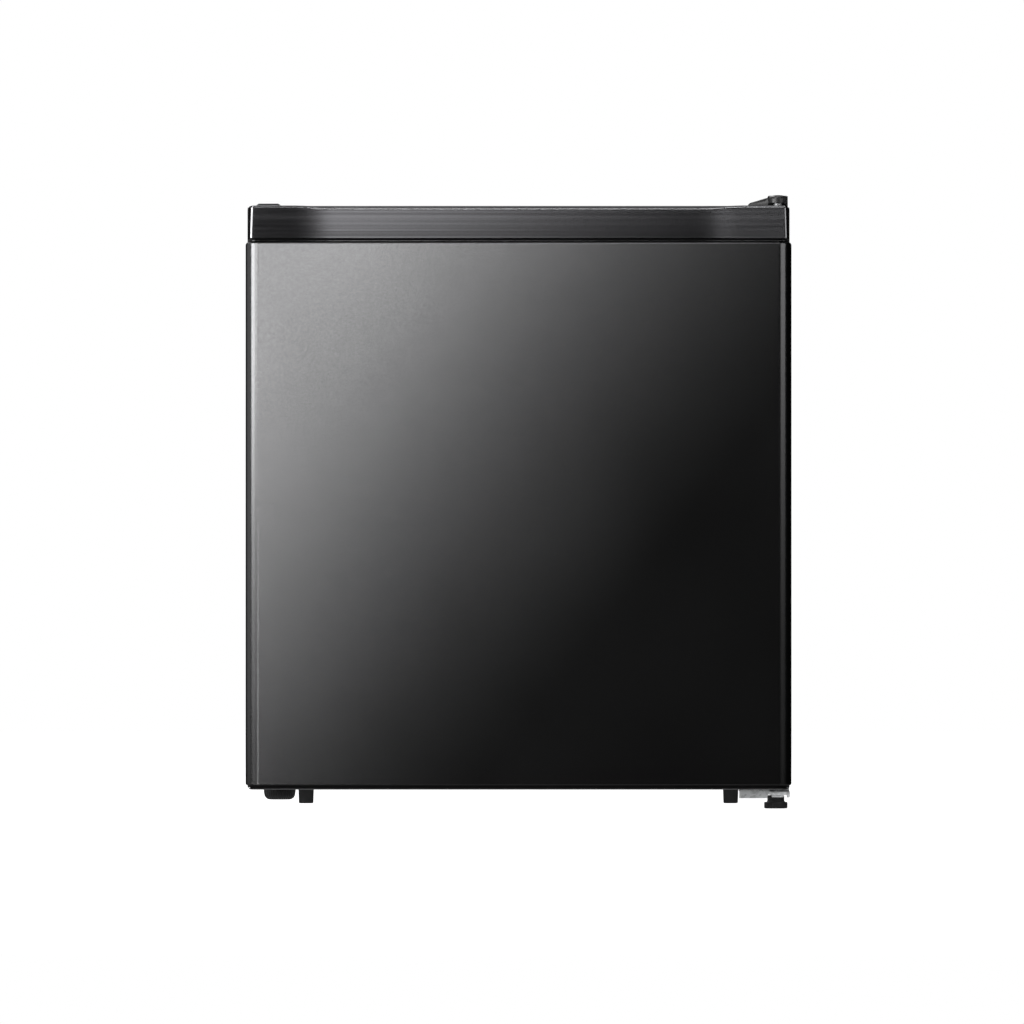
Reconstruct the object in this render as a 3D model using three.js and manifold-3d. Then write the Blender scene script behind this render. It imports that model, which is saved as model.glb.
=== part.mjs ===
// A compact cube refrigerator: a black-steel door on right-hand pins, an insulated cabinet with an ice
// compartment, and the compressor and its wire condenser in the open step at the bottom of the back.
// Millimetres. +X is to the right seen from the front, +Y to the back, +Z up, and the floor is z = 0.
import * as THREE from "three";
import { mergeVertices } from "three/addons/utils/BufferGeometryUtils.js";
import Module from "manifold-3d";

const wasm = await Module();
wasm.setup();

// ---- driving dimensions ----
const GAP = 0.3; // clearance between pieces that rest on or fit into one another
const DOOR = { half: 221, front: -233, back: -188, bottom: 16, seam: 460, top: 489.2, corner: 10.5 };
const SKIN = 1; // thickness of the door's steel
const CABINET = { half: 220, front: -179, back: 205, bottom: 17, top: 488.5 };
const SHEET = 1.2; // thickness of the cabinet's steel
const CAVITY = { half: 184, back: 168, floor: 54, ceiling: 452, corner: 12 };
const LINER = 2; // thickness of the moulded liner
const HUMP = { front: 36, top: 216 }; // the liner's bulge over the compressor step
const STEP = { front: 72, top: 184 }; // the open compressor compartment
const PIN = { x: 210, y: -213, radius: 3.25 }; // both hinge pins stand on this axis
const FOOT_Y = -165; // the two levelling feet
const LEFT_FOOT_X = -194;
const RIGHT_FOOT_X = 209;
const REAR_FOOT = { x: 175.5, y: 150 };
const SHELF = { half: 181, front: -98, back: 166, bottom: 221.4, thickness: 4 };
const LEDGE_DEPTH = 6; // how far the shelf ledges stand out of the liner
const ICE_BOX = { x: [-172, 70], y: [-66, 140], z: [344, 444], wall: 1.5 };
const FLAP = { y: [-72.5, -68], z: [346.5, 441], pivotY: -70.25, pivotZ: 438, pin: 2.2 };
const TRAY = { x: [-160, 58], y: [-78, 120], z: [312, 336], wall: 2, flange: 7 };
const DIAL = { x: 129, z: 430, front: -44, radius: 19 };
const GRIP = { half: 178, front: -228.5, back: -197, floor: 467, dip: 1.5 };
const GASKET = { half: 207, width: 16, bottom: 30, top: 475.5 };
const RACK = { half: 159.5, wall: 2.2 };
const LOWER_RACK = { bottom: 70, back: -97, rise: 72 };
const UPPER_RACK = { bottom: 246, back: -122, rise: 46 };
const COMPRESSOR = { x: 60, y: 138, radius: 58, stretch: 1.25, bottom: 34.5 };
const COMPRESSOR_FEET = { x: 64, y: 44, z: [33, 36] };
const DRIER = { place: [-124, 182], bottom: 70, top: 150 };
const CONDENSER = { half: 190, y: 222, bottom: 208, pitch: 39, runs: 7, tube: 2.5, wires: 10 };

// ---- finishes: colour, roughness, metalness ----
const FINISHES = {
  blackSteel: [0x2b2b2c, 0.36, 0.9],
  capPlastic: [0x1b1b1c, 0.3, 0.3],
  blackPaint: [0x17171a, 0.5, 0.2],
  blackPlastic: [0x101011, 0.55, 0],
  whitePlastic: [0xe9ebe9, 0.4, 0],
  clearPlastic: [0xcfd8da, 0.15, 0],
  foam: [0xd9c57e, 0.95, 0],
  rubber: [0x6d6f70, 0.8, 0],
  blackRubber: [0x0f0f0f, 0.85, 0],
  zinc: [0xb4b6b8, 0.35, 0.95],
  aluminium: [0xbfc3c6, 0.45, 0.9],
  copper: [0xb06a42, 0.35, 0.95],
  glass: [0xbfd6cf, 0.05, 0],
};

const root = new THREE.Group();

// ---- solids ----
const middle = ([low, high]) => (low + high) / 2;

// A closed geometry as a manifold solid, whichever way its faces were wound.
function solidOf(geometry) {
  const bare = geometry.index ? geometry.toNonIndexed() : geometry.clone();
  bare.deleteAttribute("normal");
  bare.deleteAttribute("uv");
  const merged = mergeVertices(bare, 1e-4);
  const corners = merged.index.array;
  const faces = [];
  for (let i = 0; i < corners.length; i += 3) {
    const [a, b, c] = [corners[i], corners[i + 1], corners[i + 2]];
    if (a !== b && b !== c && c !== a) faces.push([a, b, c]);
  }
  const build = (list) =>
    new wasm.Manifold(
      new wasm.Mesh({
        numProp: 3,
        vertProperties: merged.attributes.position.array,
        triVerts: new Uint32Array(list.flat()),
      }),
    );
  const solid = build(faces);
  return solid.volume() > 0 ? solid : build(faces.map(([a, b, c]) => [a, c, b]));
}

// A box from its three [low, high] spans.
function block(x, y, z) {
  const geometry = new THREE.BoxGeometry(x[1] - x[0], y[1] - y[0], z[1] - z[0]);
  return solidOf(geometry.translate(middle(x), middle(y), middle(z)));
}

// An outline with straight sides through the given points.
const polygon = (points) => new THREE.Shape(points.map(([u, v]) => new THREE.Vector2(u, v)));

// A rectangle with its corners rounded: low-u low-v, high-u low-v, high-u high-v, low-u high-v.
function rounded([u0, u1], [v0, v1], [a, b, c, d]) {
  const shape = new THREE.Shape();
  const corner = (u, v, radius, start) => {
    if (radius > 0) shape.absarc(u, v, radius, start, start + Math.PI / 2);
    else shape.lineTo(u, v);
  };
  shape.moveTo(u0 + a, v0);
  corner(u1 - b, v0 + b, b, -Math.PI / 2);
  corner(u1 - c, v1 - c, c, 0);
  corner(u0 + d, v1 - d, d, Math.PI / 2);
  corner(u0 + a, v0 + a, a, Math.PI);
  return shape;
}

// An outline carried along an axis: in (y, z) along x, in (x, z) along y, or in (x, y) along z.
function prism(axis, outline, [from, to], arcSteps = 3) {
  const options = { depth: to - from, bevelEnabled: false, curveSegments: arcSteps };
  const geometry = new THREE.ExtrudeGeometry(outline, options);
  const [x, y, z] = [0, 1, 2].map((i) => new THREE.Vector3().setComponent(i, 1));
  const turn = new THREE.Matrix4();
  if (axis === "x") turn.makeBasis(y, z, x).setPosition(from, 0, 0);
  if (axis === "y") turn.makeBasis(x, z, y.clone().negate()).setPosition(0, to, 0);
  if (axis === "z") turn.setPosition(0, 0, from);
  return solidOf(geometry.applyMatrix4(turn));
}

// A profile of [radius, height] points turned about a vertical axis through (x, y).
function turned(profile, [x, y], sides = 20) {
  const points = profile.map(([radius, height]) => new THREE.Vector2(radius, height));
  const geometry = new THREE.LatheGeometry(points, sides).rotateX(Math.PI / 2);
  return solidOf(geometry.translate(x, y, 0));
}

const rod = (radius, place, [z0, z1], sides = 16) =>
  turned([[0, z0], [radius, z0], [radius, z1], [0, z1]], place, sides);

// A ring or sleeve: the profile closes on itself.
const sleeve = (inner, outer, place, [z0, z1], sides = 16) =>
  turned([[inner, z0], [outer, z0], [outer, z1], [inner, z1], [inner, z0]], place, sides);

// A path that goes straight from point to point and has one section at each of them.
class PointPath extends THREE.Curve {
  constructor(points) {
    super();
    this.points = points;
  }
  getPoint(t) {
    const place = THREE.MathUtils.clamp(t, 0, 1) * (this.points.length - 1);
    const i = Math.min(Math.floor(place), this.points.length - 2);
    return new THREE.Vector3().lerpVectors(this.points[i], this.points[i + 1], place - i);
  }
  getPointAt(u) {
    return this.getPoint(u);
  }
  getTangentAt(u) {
    return this.getTangent(u);
  }
}

const circle = (u, v, radius) => new THREE.Shape().absarc(u, v, radius, 0, 2 * Math.PI);

// A round bar along a list of Vector3 points; a full arc gets two sides for each curve segment.
function bar(points, radius, sides = 8) {
  const section = circle(0, 0, radius);
  const extrudePath = new PointPath(points);
  const options = { extrudePath, steps: points.length - 1, bevelEnabled: false, curveSegments: sides / 2 };
  return solidOf(new THREE.ExtrudeGeometry(section, options));
}

// A bent tube through a few chosen points, on one smooth curve.
function tube(places, radius, steps, sides = 8) {
  const curve = new THREE.CatmullRomCurve3(places.map((p) => new THREE.Vector3(...p)));
  return bar(curve.getPoints(steps), radius, sides);
}

const join = (solids) => solids.reduce((whole, solid) => whole.add(solid));
const cut = (solid, tools) => tools.reduce((left, tool) => left.subtract(tool), solid);

function add(name, solid, finish) {
  const mesh = solid.getMesh();
  const geometry = new THREE.BufferGeometry();
  geometry.setAttribute("position", new THREE.BufferAttribute(mesh.vertProperties, 3));
  geometry.setIndex(new THREE.BufferAttribute(mesh.triVerts, 1));
  const [color, roughness, metalness] = FINISHES[finish];
  const material = new THREE.MeshStandardMaterial({ color, roughness, metalness, flatShading: true });
  const piece = new THREE.Mesh(geometry, material);
  piece.name = name;
  root.add(piece);
}

// ---- places shared by several pieces ----
const FRAME_BACK = CABINET.front + SHEET; // back of the front frame
const SHELL_FRONT = FRAME_BACK + GAP; // where the panels, liner and foam start
const INSIDE_HALF = CABINET.half - SHEET - GAP; // half of the room between the side panels
const PANEL_TOP = CABINET.top - SHEET - GAP; // top of all that lies under the top panel
const FLOOR_TOP = CABINET.bottom + SHEET; // upper face of the base plate
const TOP_SCREWS = [[207, -168], [207, -146]];
const LOWER_SCREWS = [[188, -152], [206, -144]];
const STUDS = [[LEFT_FOOT_X, FOOT_Y], [RIGHT_FOOT_X, FOOT_Y]];
const STUD = { radius: 4, top: 38 };
const SCREW = 2.2; // radius of the hinge screws
const LIQUID_START = -CONDENSER.half + 34; // where the condenser's last run meets the liquid tube
const HINGE_SEAT = { inner: 186.2, back: -121.2, floor: CABINET.top - 0.6 }; // corners of the lid
const SEAT_TOP = HINGE_SEAT.floor + GAP; // underside of what is screwed to a seat

// The room inside the liner, grown outwards by a margin, with its hump taken off.
function cavity(margin) {
  const front = CABINET.front - 10;
  const back = CAVITY.back + margin;
  const floor = CAVITY.floor - margin;
  const ceiling = CAVITY.ceiling + margin;
  const humpFront = HUMP.front + margin;
  const humpTop = HUMP.top - margin;
  const side = polygon([
    [front, floor],
    [humpFront, floor],
    [humpFront, humpTop],
    [back, humpTop],
    [back, ceiling],
    [front, ceiling],
  ]);
  const half = CAVITY.half + margin;
  const radius = CAVITY.corner + margin;
  const face = rounded([-half, half], [floor, ceiling], [radius, radius, radius, radius]);
  return prism("x", side, [-half, half]).intersect(prism("y", face, [front, back]));
}

// ---- cabinet ----
function sidePanels() {
  const inner = CABINET.half - SHEET;
  const span = [SHELL_FRONT, CABINET.back];
  const height = [CABINET.bottom, PANEL_TOP];
  add("side_panel_left", block([-CABINET.half, -inner], span, height), "blackPaint");
  add("side_panel_right", block([inner, CABINET.half], span, height), "blackPaint");
}

// The lid, pressed down a little at both front corners where a hinge plate can be screwed on.
function topPanel() {
  const panel = block(
    [-CABINET.half, CABINET.half],
    [SHELL_FRONT, CABINET.back],
    [CABINET.top - SHEET, CABINET.top],
  );
  const holes = TOP_SCREWS.map((place) => rod(SCREW + GAP, place, [470, 495], 10));
  const seats = [-1, 1].map((side) => {
    const x = [side * HINGE_SEAT.inner, side * (CABINET.half + 5)].sort((a, b) => a - b);
    return block(x, [CABINET.front - 5, HINGE_SEAT.back], [HINGE_SEAT.floor, CABINET.top + 5]);
  });
  add("top_panel", cut(panel, [...holes, ...seats]), "blackPaint");
}

// One bent sheet: down the back, forwards over the compressor step, and down its front wall.
function backPanel() {
  const side = polygon([
    [STEP.front - SHEET, FLOOR_TOP + GAP],
    [STEP.front, FLOOR_TOP + GAP],
    [STEP.front, STEP.top],
    [CABINET.back, STEP.top],
    [CABINET.back, PANEL_TOP],
    [CABINET.back - SHEET, PANEL_TOP],
    [CABINET.back - SHEET, STEP.top + SHEET],
    [STEP.front - SHEET, STEP.top + SHEET],
  ]);
  add("back_panel", prism("x", side, [-INSIDE_HALF, INSIDE_HALF]), "blackPaint");
}

function basePlate() {
  const lip = 14;
  const plate = block(
    [-INSIDE_HALF, INSIDE_HALF],
    [SHELL_FRONT, CABINET.back],
    [CABINET.bottom, FLOOR_TOP],
  );
  const rearLip = block(
    [-INSIDE_HALF, INSIDE_HALF],
    [CABINET.back - SHEET, CABINET.back],
    [CABINET.bottom, CABINET.bottom + lip],
  );
  const holes = [
    ...STUDS.map((place) => rod(STUD.radius + 0.5, place, [10, 30])),
    ...LOWER_SCREWS.map((place) => rod(SCREW + GAP, place, [10, 30], 10)),
  ];
  add("base_plate", cut(plate.add(rearLip), holes), "zinc");
}

function frontFrame() {
  const sides = [-CABINET.half, CABINET.half];
  const ring = rounded(sides, [CABINET.bottom, CABINET.top], [3, 3, 3, 3]);
  const opening = [-CAVITY.half, CAVITY.half];
  const corners = Array(4).fill(CAVITY.corner);
  ring.holes.push(rounded(opening, [CAVITY.floor, CAVITY.ceiling], corners));
  add("front_frame", prism("y", ring, [CABINET.front, FRAME_BACK]), "blackPaint");
}

function insulation() {
  const mass = block(
    [-INSIDE_HALF, INSIDE_HALF],
    [SHELL_FRONT, CABINET.back - SHEET - GAP],
    [FLOOR_TOP + GAP, PANEL_TOP],
  );
  const step = block(
    [-CABINET.half, CABINET.half],
    [STEP.front - SHEET - GAP, CABINET.back + 10],
    [0, STEP.top + SHEET + GAP],
  );
  const holes = [
    ...STUDS.map((place) => rod(STUD.radius + 0.8, place, [10, STUD.top + 4])),
    ...LOWER_SCREWS.map((place) => rod(SCREW + GAP, place, [10, 32], 10)),
    ...TOP_SCREWS.map((place) => rod(SCREW + GAP, place, [472, 500], 10)),
  ];
  add("insulation", cut(mass, [cavity(LINER + GAP), step, ...holes]), "foam");
}

// The white moulded liner, with two pairs of shelf ledges.
function innerLiner() {
  const shell = cavity(LINER).subtract(cavity(0));
  const behindFrame = block(
    [-CABINET.half, CABINET.half],
    [SHELL_FRONT, CABINET.back],
    [0, CABINET.top],
  );
  const ledges = [];
  for (const side of [-1, 1]) {
    for (const [top, back] of [[SHELF.bottom - GAP, 160], [134, HUMP.front - 4]]) {
      const x = [side * (CAVITY.half - LEDGE_DEPTH), side * (CAVITY.half + 1)].sort((a, b) => a - b);
      ledges.push(block(x, [-74, back], [top - 4, top]));
    }
  }
  add("inner_liner", join([shell.intersect(behindFrame), ...ledges]), "whitePlastic");
}

// ---- what the cabinet stands on ----
function levellingFeet() {
  const leftTop = 16.4;
  const left = turned(
    [
      [0, 7.3],
      [9.5, 7.3],
      [12.2, 8.6],
      [13, 11],
      [13, leftTop - 0.8],
      [12.2, leftTop],
      [STUD.radius, leftTop],
      [STUD.radius, STUD.top],
      [0, STUD.top],
    ],
    STUDS[0],
    24,
  );
  const right = turned(
    [
      [0, 0],
      [9, 0],
      [9.5, 0.6],
      [9.5, 4.5],
      [9, 5.1],
      [6.9, 5.1],
      [6.9, 10.8],
      [STUD.radius, 10.8],
      [STUD.radius, STUD.top],
      [0, STUD.top],
    ],
    STUDS[1],
    20,
  );
  add("front_foot_left", left, "blackPlastic");
  add("front_foot_right", right, "blackPlastic");
}

function rearFeet() {
  const profile = [[0, 0], [5.6, 0], [6, 0.5], [6.5, 14.2], [10, 14.2], [10, 16.7], [0, 16.7]];
  add("rear_foot_left", turned(profile, [-REAR_FOOT.x, REAR_FOOT.y]), "blackPlastic");
  add("rear_foot_right", turned(profile, [REAR_FOOT.x, REAR_FOOT.y]), "blackPlastic");
}

// ---- door ----
// The steel wraps the front and both sides and returns a little way across the back.
function doorSkin() {
  const turnIn = 15;
  const { half, front, back, corner } = DOOR;
  const inner = { half: half - SKIN, front: front + SKIN, back: back - SKIN };
  const arc = corner - SKIN;
  const centre = { x: half - corner, y: front + corner };
  const plan = new THREE.Shape();
  plan.moveTo(-half + turnIn, back);
  plan.lineTo(-half, back);
  plan.absarc(-centre.x, centre.y, corner, Math.PI, 1.5 * Math.PI);
  plan.absarc(centre.x, centre.y, corner, 1.5 * Math.PI, 2 * Math.PI);
  plan.lineTo(half, back);
  plan.lineTo(half - turnIn, back);
  plan.lineTo(half - turnIn, inner.back);
  plan.lineTo(inner.half, inner.back);
  plan.absarc(centre.x, centre.y, arc, 2 * Math.PI, 1.5 * Math.PI, true);
  plan.absarc(-centre.x, centre.y, arc, 1.5 * Math.PI, Math.PI, true);
  plan.lineTo(-inner.half, inner.back);
  plan.lineTo(-half + turnIn, inner.back);
  const height = [DOOR.bottom + 1.6, DOOR.seam];
  const face = rounded([-half, half], height, [4, 4, 3, 3]);
  const skin = prism("z", plan, height, 5).intersect(prism("y", face, [front - 5, back + 5]));
  add("door_skin", skin, "blackSteel");
}

function doorFoam() {
  const plan = rounded([-219.5, 219.5], [DOOR.front + 1.5, DOOR.back - 1.5], [9, 9, 0, 0]);
  add("door_foam", prism("z", plan, [DOOR.bottom + 12.3, DOOR.seam - 8]), "foam");
}

// The end cap that closes the top of the door, with the finger pocket behind its front wall.
function doorTopCap() {
  const taper = 2; // the cap is this much narrower at each side of its top
  const base = DOOR.seam + 1.4;
  const half = 219.8;
  const front = DOOR.front + 0.6;
  const plan = rounded([-half, half], [front, DOOR.back], [10, 10, 1, 1]);
  const lower = prism("z", plan, [base, DOOR.top], 5);
  const face = polygon([
    [-half, base],
    [half, base],
    [half - taper, DOOR.top],
    [taper - half, DOOR.top],
  ]);
  const body = lower.intersect(prism("y", face, [front - 5, DOOR.back + 5]));
  const neckPlan = rounded([-218, 218], [DOOR.front + 2.5, DOOR.back - 1.5], [8, 8, 0, 0]);
  const neck = prism("z", neckPlan, [DOOR.seam - 7.7, base + 1]);
  const hollow = block([-203, 203], [DOOR.front + 6, DOOR.back - 5], [DOOR.seam - 10, GRIP.floor - 3]);
  const pocketPlan = rounded([-GRIP.half, GRIP.half], [GRIP.front, GRIP.back], [6, 6, 6, 6]);
  const pocket = prism("z", pocketPlan, [GRIP.floor, DOOR.top + 5]);
  const dip = polygon([
    [-GRIP.half, DOOR.top],
    [-GRIP.half + 34, DOOR.top - GRIP.dip],
    [GRIP.half - 34, DOOR.top - GRIP.dip],
    [GRIP.half, DOOR.top],
    [GRIP.half, DOOR.top + 5],
    [-GRIP.half, DOOR.top + 5],
  ]);
  const lowered = prism("y", dip, [front - 5, GRIP.front + 1]);
  const bore = rod(5, [PIN.x, PIN.y], [470, DOOR.top + 5], 20);
  add("door_top_cap", cut(body.add(neck), [hollow, pocket, lowered, bore]), "capPlastic");
}

function doorBottomCap() {
  const rim = DOOR.bottom + 1.3;
  const rimPlan = rounded([-220.6, 220.6], [DOOR.front + 0.4, DOOR.back], [10, 10, 1, 1]);
  const plugPlan = rounded([-219.3, 219.3], [DOOR.front + 1.7, DOOR.back - 1.6], [9, 9, 0, 0]);
  const solid = prism("z", rimPlan, [DOOR.bottom, rim], 5).add(
    prism("z", plugPlan, [rim - 0.5, DOOR.bottom + 12], 5),
  );
  const hollow = block([-202, 202], [DOOR.front + 5, DOOR.back - 5], [DOOR.bottom + 3, DOOR.bottom + 20]);
  const bore = rod(5, [PIN.x, PIN.y], [DOOR.bottom - 5, DOOR.bottom + 11], 20);
  add("door_bottom_cap", cut(solid, [hollow, bore]), "blackPlastic");
}

// The bearing bushes that turn on the two hinge pins.
function doorBushes() {
  const inner = PIN.radius + 0.35;
  const outer = 4.7;
  const place = [PIN.x, PIN.y];
  const above = [470.3, DOOR.top - GAP];
  const below = [DOOR.bottom + 0.2, DOOR.bottom + 10.7];
  add("door_bush_top", sleeve(inner, outer, place, above), "blackPlastic");
  add("door_bush_bottom", sleeve(inner, outer, place, below), "blackPlastic");
}

// The white inner face of the door: a flat flange under the gasket, a raised middle, and rack lugs.
function doorLiner() {
  const back = DOOR.back + GAP;
  const raised = back + 11.7;
  const flange = prism("y", rounded([-209, 209], [28, 478], [8, 8, 8, 8]), [back, back + 1.8]);
  const middlePlan = rounded([-172, 172], [62, 444], [14, 14, 14, 14]);
  const hollowPlan = rounded([-170, 170], [64, 442], [12, 12, 12, 12]);
  const sheet = flange.add(prism("y", middlePlan, [back, raised]));
  const hollow = prism("y", hollowPlan, [back - 5, raised - LINER]);
  const lugs = [];
  for (const side of [-1, 1]) {
    for (const rack of [LOWER_RACK, UPPER_RACK]) {
      const span = (a, b) => [side * a, side * b].sort((p, q) => p - q);
      const depth = [raised - 0.5, raised + 26];
      lugs.push(block(span(RACK.half + 0.7, 172), depth, [rack.bottom - 6, rack.bottom + rack.rise * 0.8]));
      lugs.push(block(span(150, RACK.half + 1), depth, [rack.bottom - 4.3, rack.bottom - GAP]));
    }
  }
  add("door_liner", join([sheet.subtract(hollow), ...lugs]), "whitePlastic");
}

function doorGasket() {
  const { half, width, bottom, top } = GASKET;
  const ring = rounded([-half, half], [bottom, top], [6, 6, 6, 6]);
  const inside = [-half + width, half - width];
  ring.holes.push(rounded(inside, [bottom + width, top - width], [3, 3, 3, 3]));
  const depth = [DOOR.back + GAP + 1.8 + GAP, CABINET.front - GAP];
  add("door_gasket", prism("y", ring, depth, 3), "rubber");
}

// An open-topped bin whose sides fall away from the door.
function doorRack(name, { bottom, back, rise }) {
  const front = DOOR.back + 12.3;
  const { half, wall } = RACK;
  const profile = (margin) =>
    polygon([
      [front + margin, bottom + margin],
      [back - 4 - margin / 2, bottom + margin],
      [back - margin, bottom + 6 + margin / 2],
      [back - margin, bottom + rise * 0.8 + (margin ? 40 : 0)],
      [front + margin, bottom + rise + (margin ? 40 : 0)],
    ]);
  const outside = prism("x", profile(0), [-half, half]);
  const inside = prism("x", profile(wall), [-half + wall, half - wall]);
  add(name, outside.subtract(inside), "clearPlastic");
}

// ---- hinges ----
function topHinge() {
  const thick = 3;
  const raised = 491.6;
  const bend = polygon([
    [-222, raised],
    [-184, raised],
    [-176.5, SEAT_TOP],
    [-130, SEAT_TOP],
    [-130, SEAT_TOP + thick],
    [-175.5, SEAT_TOP + thick],
    [-183, raised + thick],
    [-222, raised + thick],
  ]);
  const nose = rod(5.6, [PIN.x, PIN.y], [480, 500], 20);
  const arm = block([PIN.x - 5.6, PIN.x + 5.6], [PIN.y, -172], [480, 500]);
  const tab = block([197.5, 216.7], [-177, -134], [480, 500]);
  const plate = prism("x", bend, [190, CABINET.half]).intersect(join([nose, arm, tab]));
  const holes = [
    rod(PIN.radius + GAP, [PIN.x, PIN.y], [480, 500]),
    ...TOP_SCREWS.map((place) => rod(SCREW + GAP, place, [480, 500], 10)),
  ];
  add("top_hinge_plate", cut(plate, holes), "zinc");
  const shoulder = raised + thick + GAP;
  const pin = [
    [0, 474],
    [2.4, 474],
    [PIN.radius, 475],
    [PIN.radius, shoulder],
    [4.8, shoulder],
    [4.8, shoulder + 0.8],
    [0, shoulder + 0.8],
  ];
  add("top_hinge_pin", turned(pin, [PIN.x, PIN.y], 20), "zinc");
  TOP_SCREWS.forEach((place, i) => {
    const head = SEAT_TOP + thick + GAP;
    const tip = [[0, 478], [1, 478], [SCREW, 480]];
    const screw = [...tip, [SCREW, head], [4.4, head], [3.4, head + 2.1], [0, head + 2.5]];
    add("top_hinge_screw_" + (i + 1), turned(screw, place, 12), "zinc");
  });
}

// A plastic hood over the hinge plate, with a round boss above the pin.
function topHingeCover() {
  const place = [PIN.x, PIN.y];
  const top = 497.5;
  const hood = (margin) => {
    const ceiling = top - margin;
    const under = margin ? -10 : 0;
    const slope = polygon([
      [187 + margin, 488.8 + under],
      [218.5 - margin, 488.8 + under],
      [218.5 - margin, ceiling - 1],
      [217.5 - margin, ceiling],
      [203 + margin, ceiling],
      [202.3 + margin, 495.6 - margin],
      [187 + margin, 490.6 - margin],
    ]);
    const fall = polygon([
      [-190, 470],
      [-122 - margin, 470],
      [-122 - margin, 491.5 - margin],
      [-148, ceiling],
      [-190, ceiling],
    ]);
    const main = prism("y", slope, [-186 + margin, -122 - margin]).intersect(prism("x", fall, [180, 225]));
    const neckBottom = 490.9 + under;
    const width = 7.7 - margin;
    const neck = block([PIN.x - width, PIN.x + width], [PIN.y, -180], [neckBottom, ceiling]);
    const dome = margin ? [[0, ceiling]] : [[width - 1.6, ceiling], [0, ceiling]];
    const rim = margin ? ceiling : ceiling - 1.4;
    const boss = turned([[0, neckBottom], [width, neckBottom], [width, rim], ...dome], place, 28);
    const end = margin ? rod(width, place, [neckBottom, ceiling], 28) : boss;
    return join([main, neck, end]);
  };
  add("top_hinge_cover", hood(0).subtract(hood(1.4)), "blackPlastic");
}

// The low cover over the screw holes that serve when the door is hung on the left.
function spareHoleCover() {
  const low = SEAT_TOP;
  const side = polygon([
    [-213, low],
    [-193, low],
    [-193, low + 1.4],
    [-195, low + 3],
    [-211, low + 3],
    [-213, low + 1.4],
  ]);
  add("spare_hole_cover", prism("y", side, [-176, -134]), "blackPlastic");
}

// The lower hinge: a plate under the cabinet, a nose that carries the pin, and a lip folded down.
function lowerHinge() {
  const top = 16.7;
  const plate = block([178.8, 219.8], [-178, -134], [top - 3, top]);
  const nosePlan = new THREE.Shape();
  nosePlan.moveTo(203.6, -174);
  nosePlan.absarc(211.7, -213, 8.1, Math.PI, 2 * Math.PI);
  nosePlan.lineTo(219.8, -174);
  const nose = prism("z", nosePlan, [11.6, 14.6], 7);
  const lip = block([178.8, 203.6], [-178, -175.4], [8.3, 15]);
  const curl = block([218.2, 219.8], [-213, -174], [9.4, 13]);
  const holes = [
    rod(PIN.radius + GAP, [PIN.x, PIN.y], [0, 30]),
    rod(STUD.radius + 0.5, STUDS[1], [0, 30]),
    ...LOWER_SCREWS.map((place) => rod(SCREW + GAP, place, [0, 30], 10)),
  ];
  add("lower_hinge_bracket", cut(join([plate, nose, lip, curl]), holes), "zinc");
  const pin = [
    [0, 9.8],
    [4.6, 9.8],
    [5, 10.3],
    [5, 11.3],
    [PIN.radius, 11.3],
    [PIN.radius, 25],
    [2.4, 25.8],
    [0, 25.8],
  ];
  add("lower_hinge_pin", turned(pin, [PIN.x, PIN.y], 20), "zinc");
  LOWER_SCREWS.forEach((place, i) => {
    const screw = [[0, 10.6], [3.4, 11], [4.4, 13.3], [SCREW, 13.3], [SCREW, 28], [1, 30], [0, 30]];
    add("lower_hinge_screw_" + (i + 1), turned(screw, place, 12), "zinc");
  });
}

// ---- inside the cabinet ----
function shelf() {
  const glassTop = SHELF.bottom + SHELF.thickness;
  const across = [-SHELF.half, SHELF.half];
  const glass = block(across, [SHELF.front + 8.3, SHELF.back - 8.3], [SHELF.bottom, glassTop]);
  add("shelf_glass", glass, "glass");
  const slot = [SHELF.bottom - GAP, glassTop + GAP];
  const frontTrim = prism("x", rounded([SHELF.front, -80], [217.5, 229.4], [4, 1, 1, 4]), across, 3);
  const frontSlot = block([-190, 190], [SHELF.front + 8, 0], slot);
  add("shelf_front_trim", frontTrim.subtract(frontSlot), "whitePlastic");
  const rearTrim = prism(
    "x",
    polygon([
      [150, 218.9],
      [SHELF.back, 218.9],
      [SHELF.back, 240],
      [SHELF.back - 3, 240],
      [SHELF.back - 3, 228],
      [150, 228],
    ]),
    [-176.5, 176.5],
  );
  const rearSlot = block([-190, 190], [0, SHELF.back - 8], slot);
  add("shelf_rear_trim", rearTrim.subtract(rearSlot), "whitePlastic");
}

// The aluminium ice box: a closed-back sleeve on four ceiling posts, with lugs for its flap.
function iceBox() {
  const { x, y, z, wall } = ICE_BOX;
  const inside = block([x[0] + wall, x[1] - wall], [y[0] - 5, y[1] - wall], [z[0] + wall, z[1] - wall]);
  const sleeveBox = block(x, y, z).subtract(inside);
  const posts = [];
  for (const postX of [x[0] + 20, x[1] - 20]) {
    for (const postY of [y[0] + 20, y[1] - 20]) {
      posts.push(block([postX - 5, postX + 5], [postY - 5, postY + 5], [z[1] - 1, CAVITY.ceiling - GAP]));
    }
  }
  const lugs = [[x[0] - 3.5, x[0] + 0.5], [x[1] - 0.5, x[1] + 3.5]].map((span) =>
    block(span, [-78, -50], [FLAP.pivotZ - 8, z[1] - 0.5]),
  );
  const hole = circle(FLAP.pivotY, FLAP.pivotZ, FLAP.pin + 0.4);
  const pinHole = prism("x", hole, [x[0] - 10, x[1] + 10], 7);
  const shaped = join([sleeveBox, ...posts, ...lugs]);
  add("ice_box", shaped.subtract(pinHole), "aluminium");
}

function iceFlap() {
  const span = [ICE_BOX.x[0] + 0.8, ICE_BOX.x[1] - 0.8];
  const plate = block(span, FLAP.y, FLAP.z);
  const grip = block([-76, -26], [FLAP.y[0] - 7, FLAP.y[0] + 1], [FLAP.z[0], FLAP.z[0] + 4]);
  const axle = prism("x", circle(FLAP.pivotY, FLAP.pivotZ, FLAP.pin), [span[0] - 4, span[1] + 4], 6);
  add("ice_flap", join([plate, grip, axle]), "clearPlastic");
}

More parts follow.
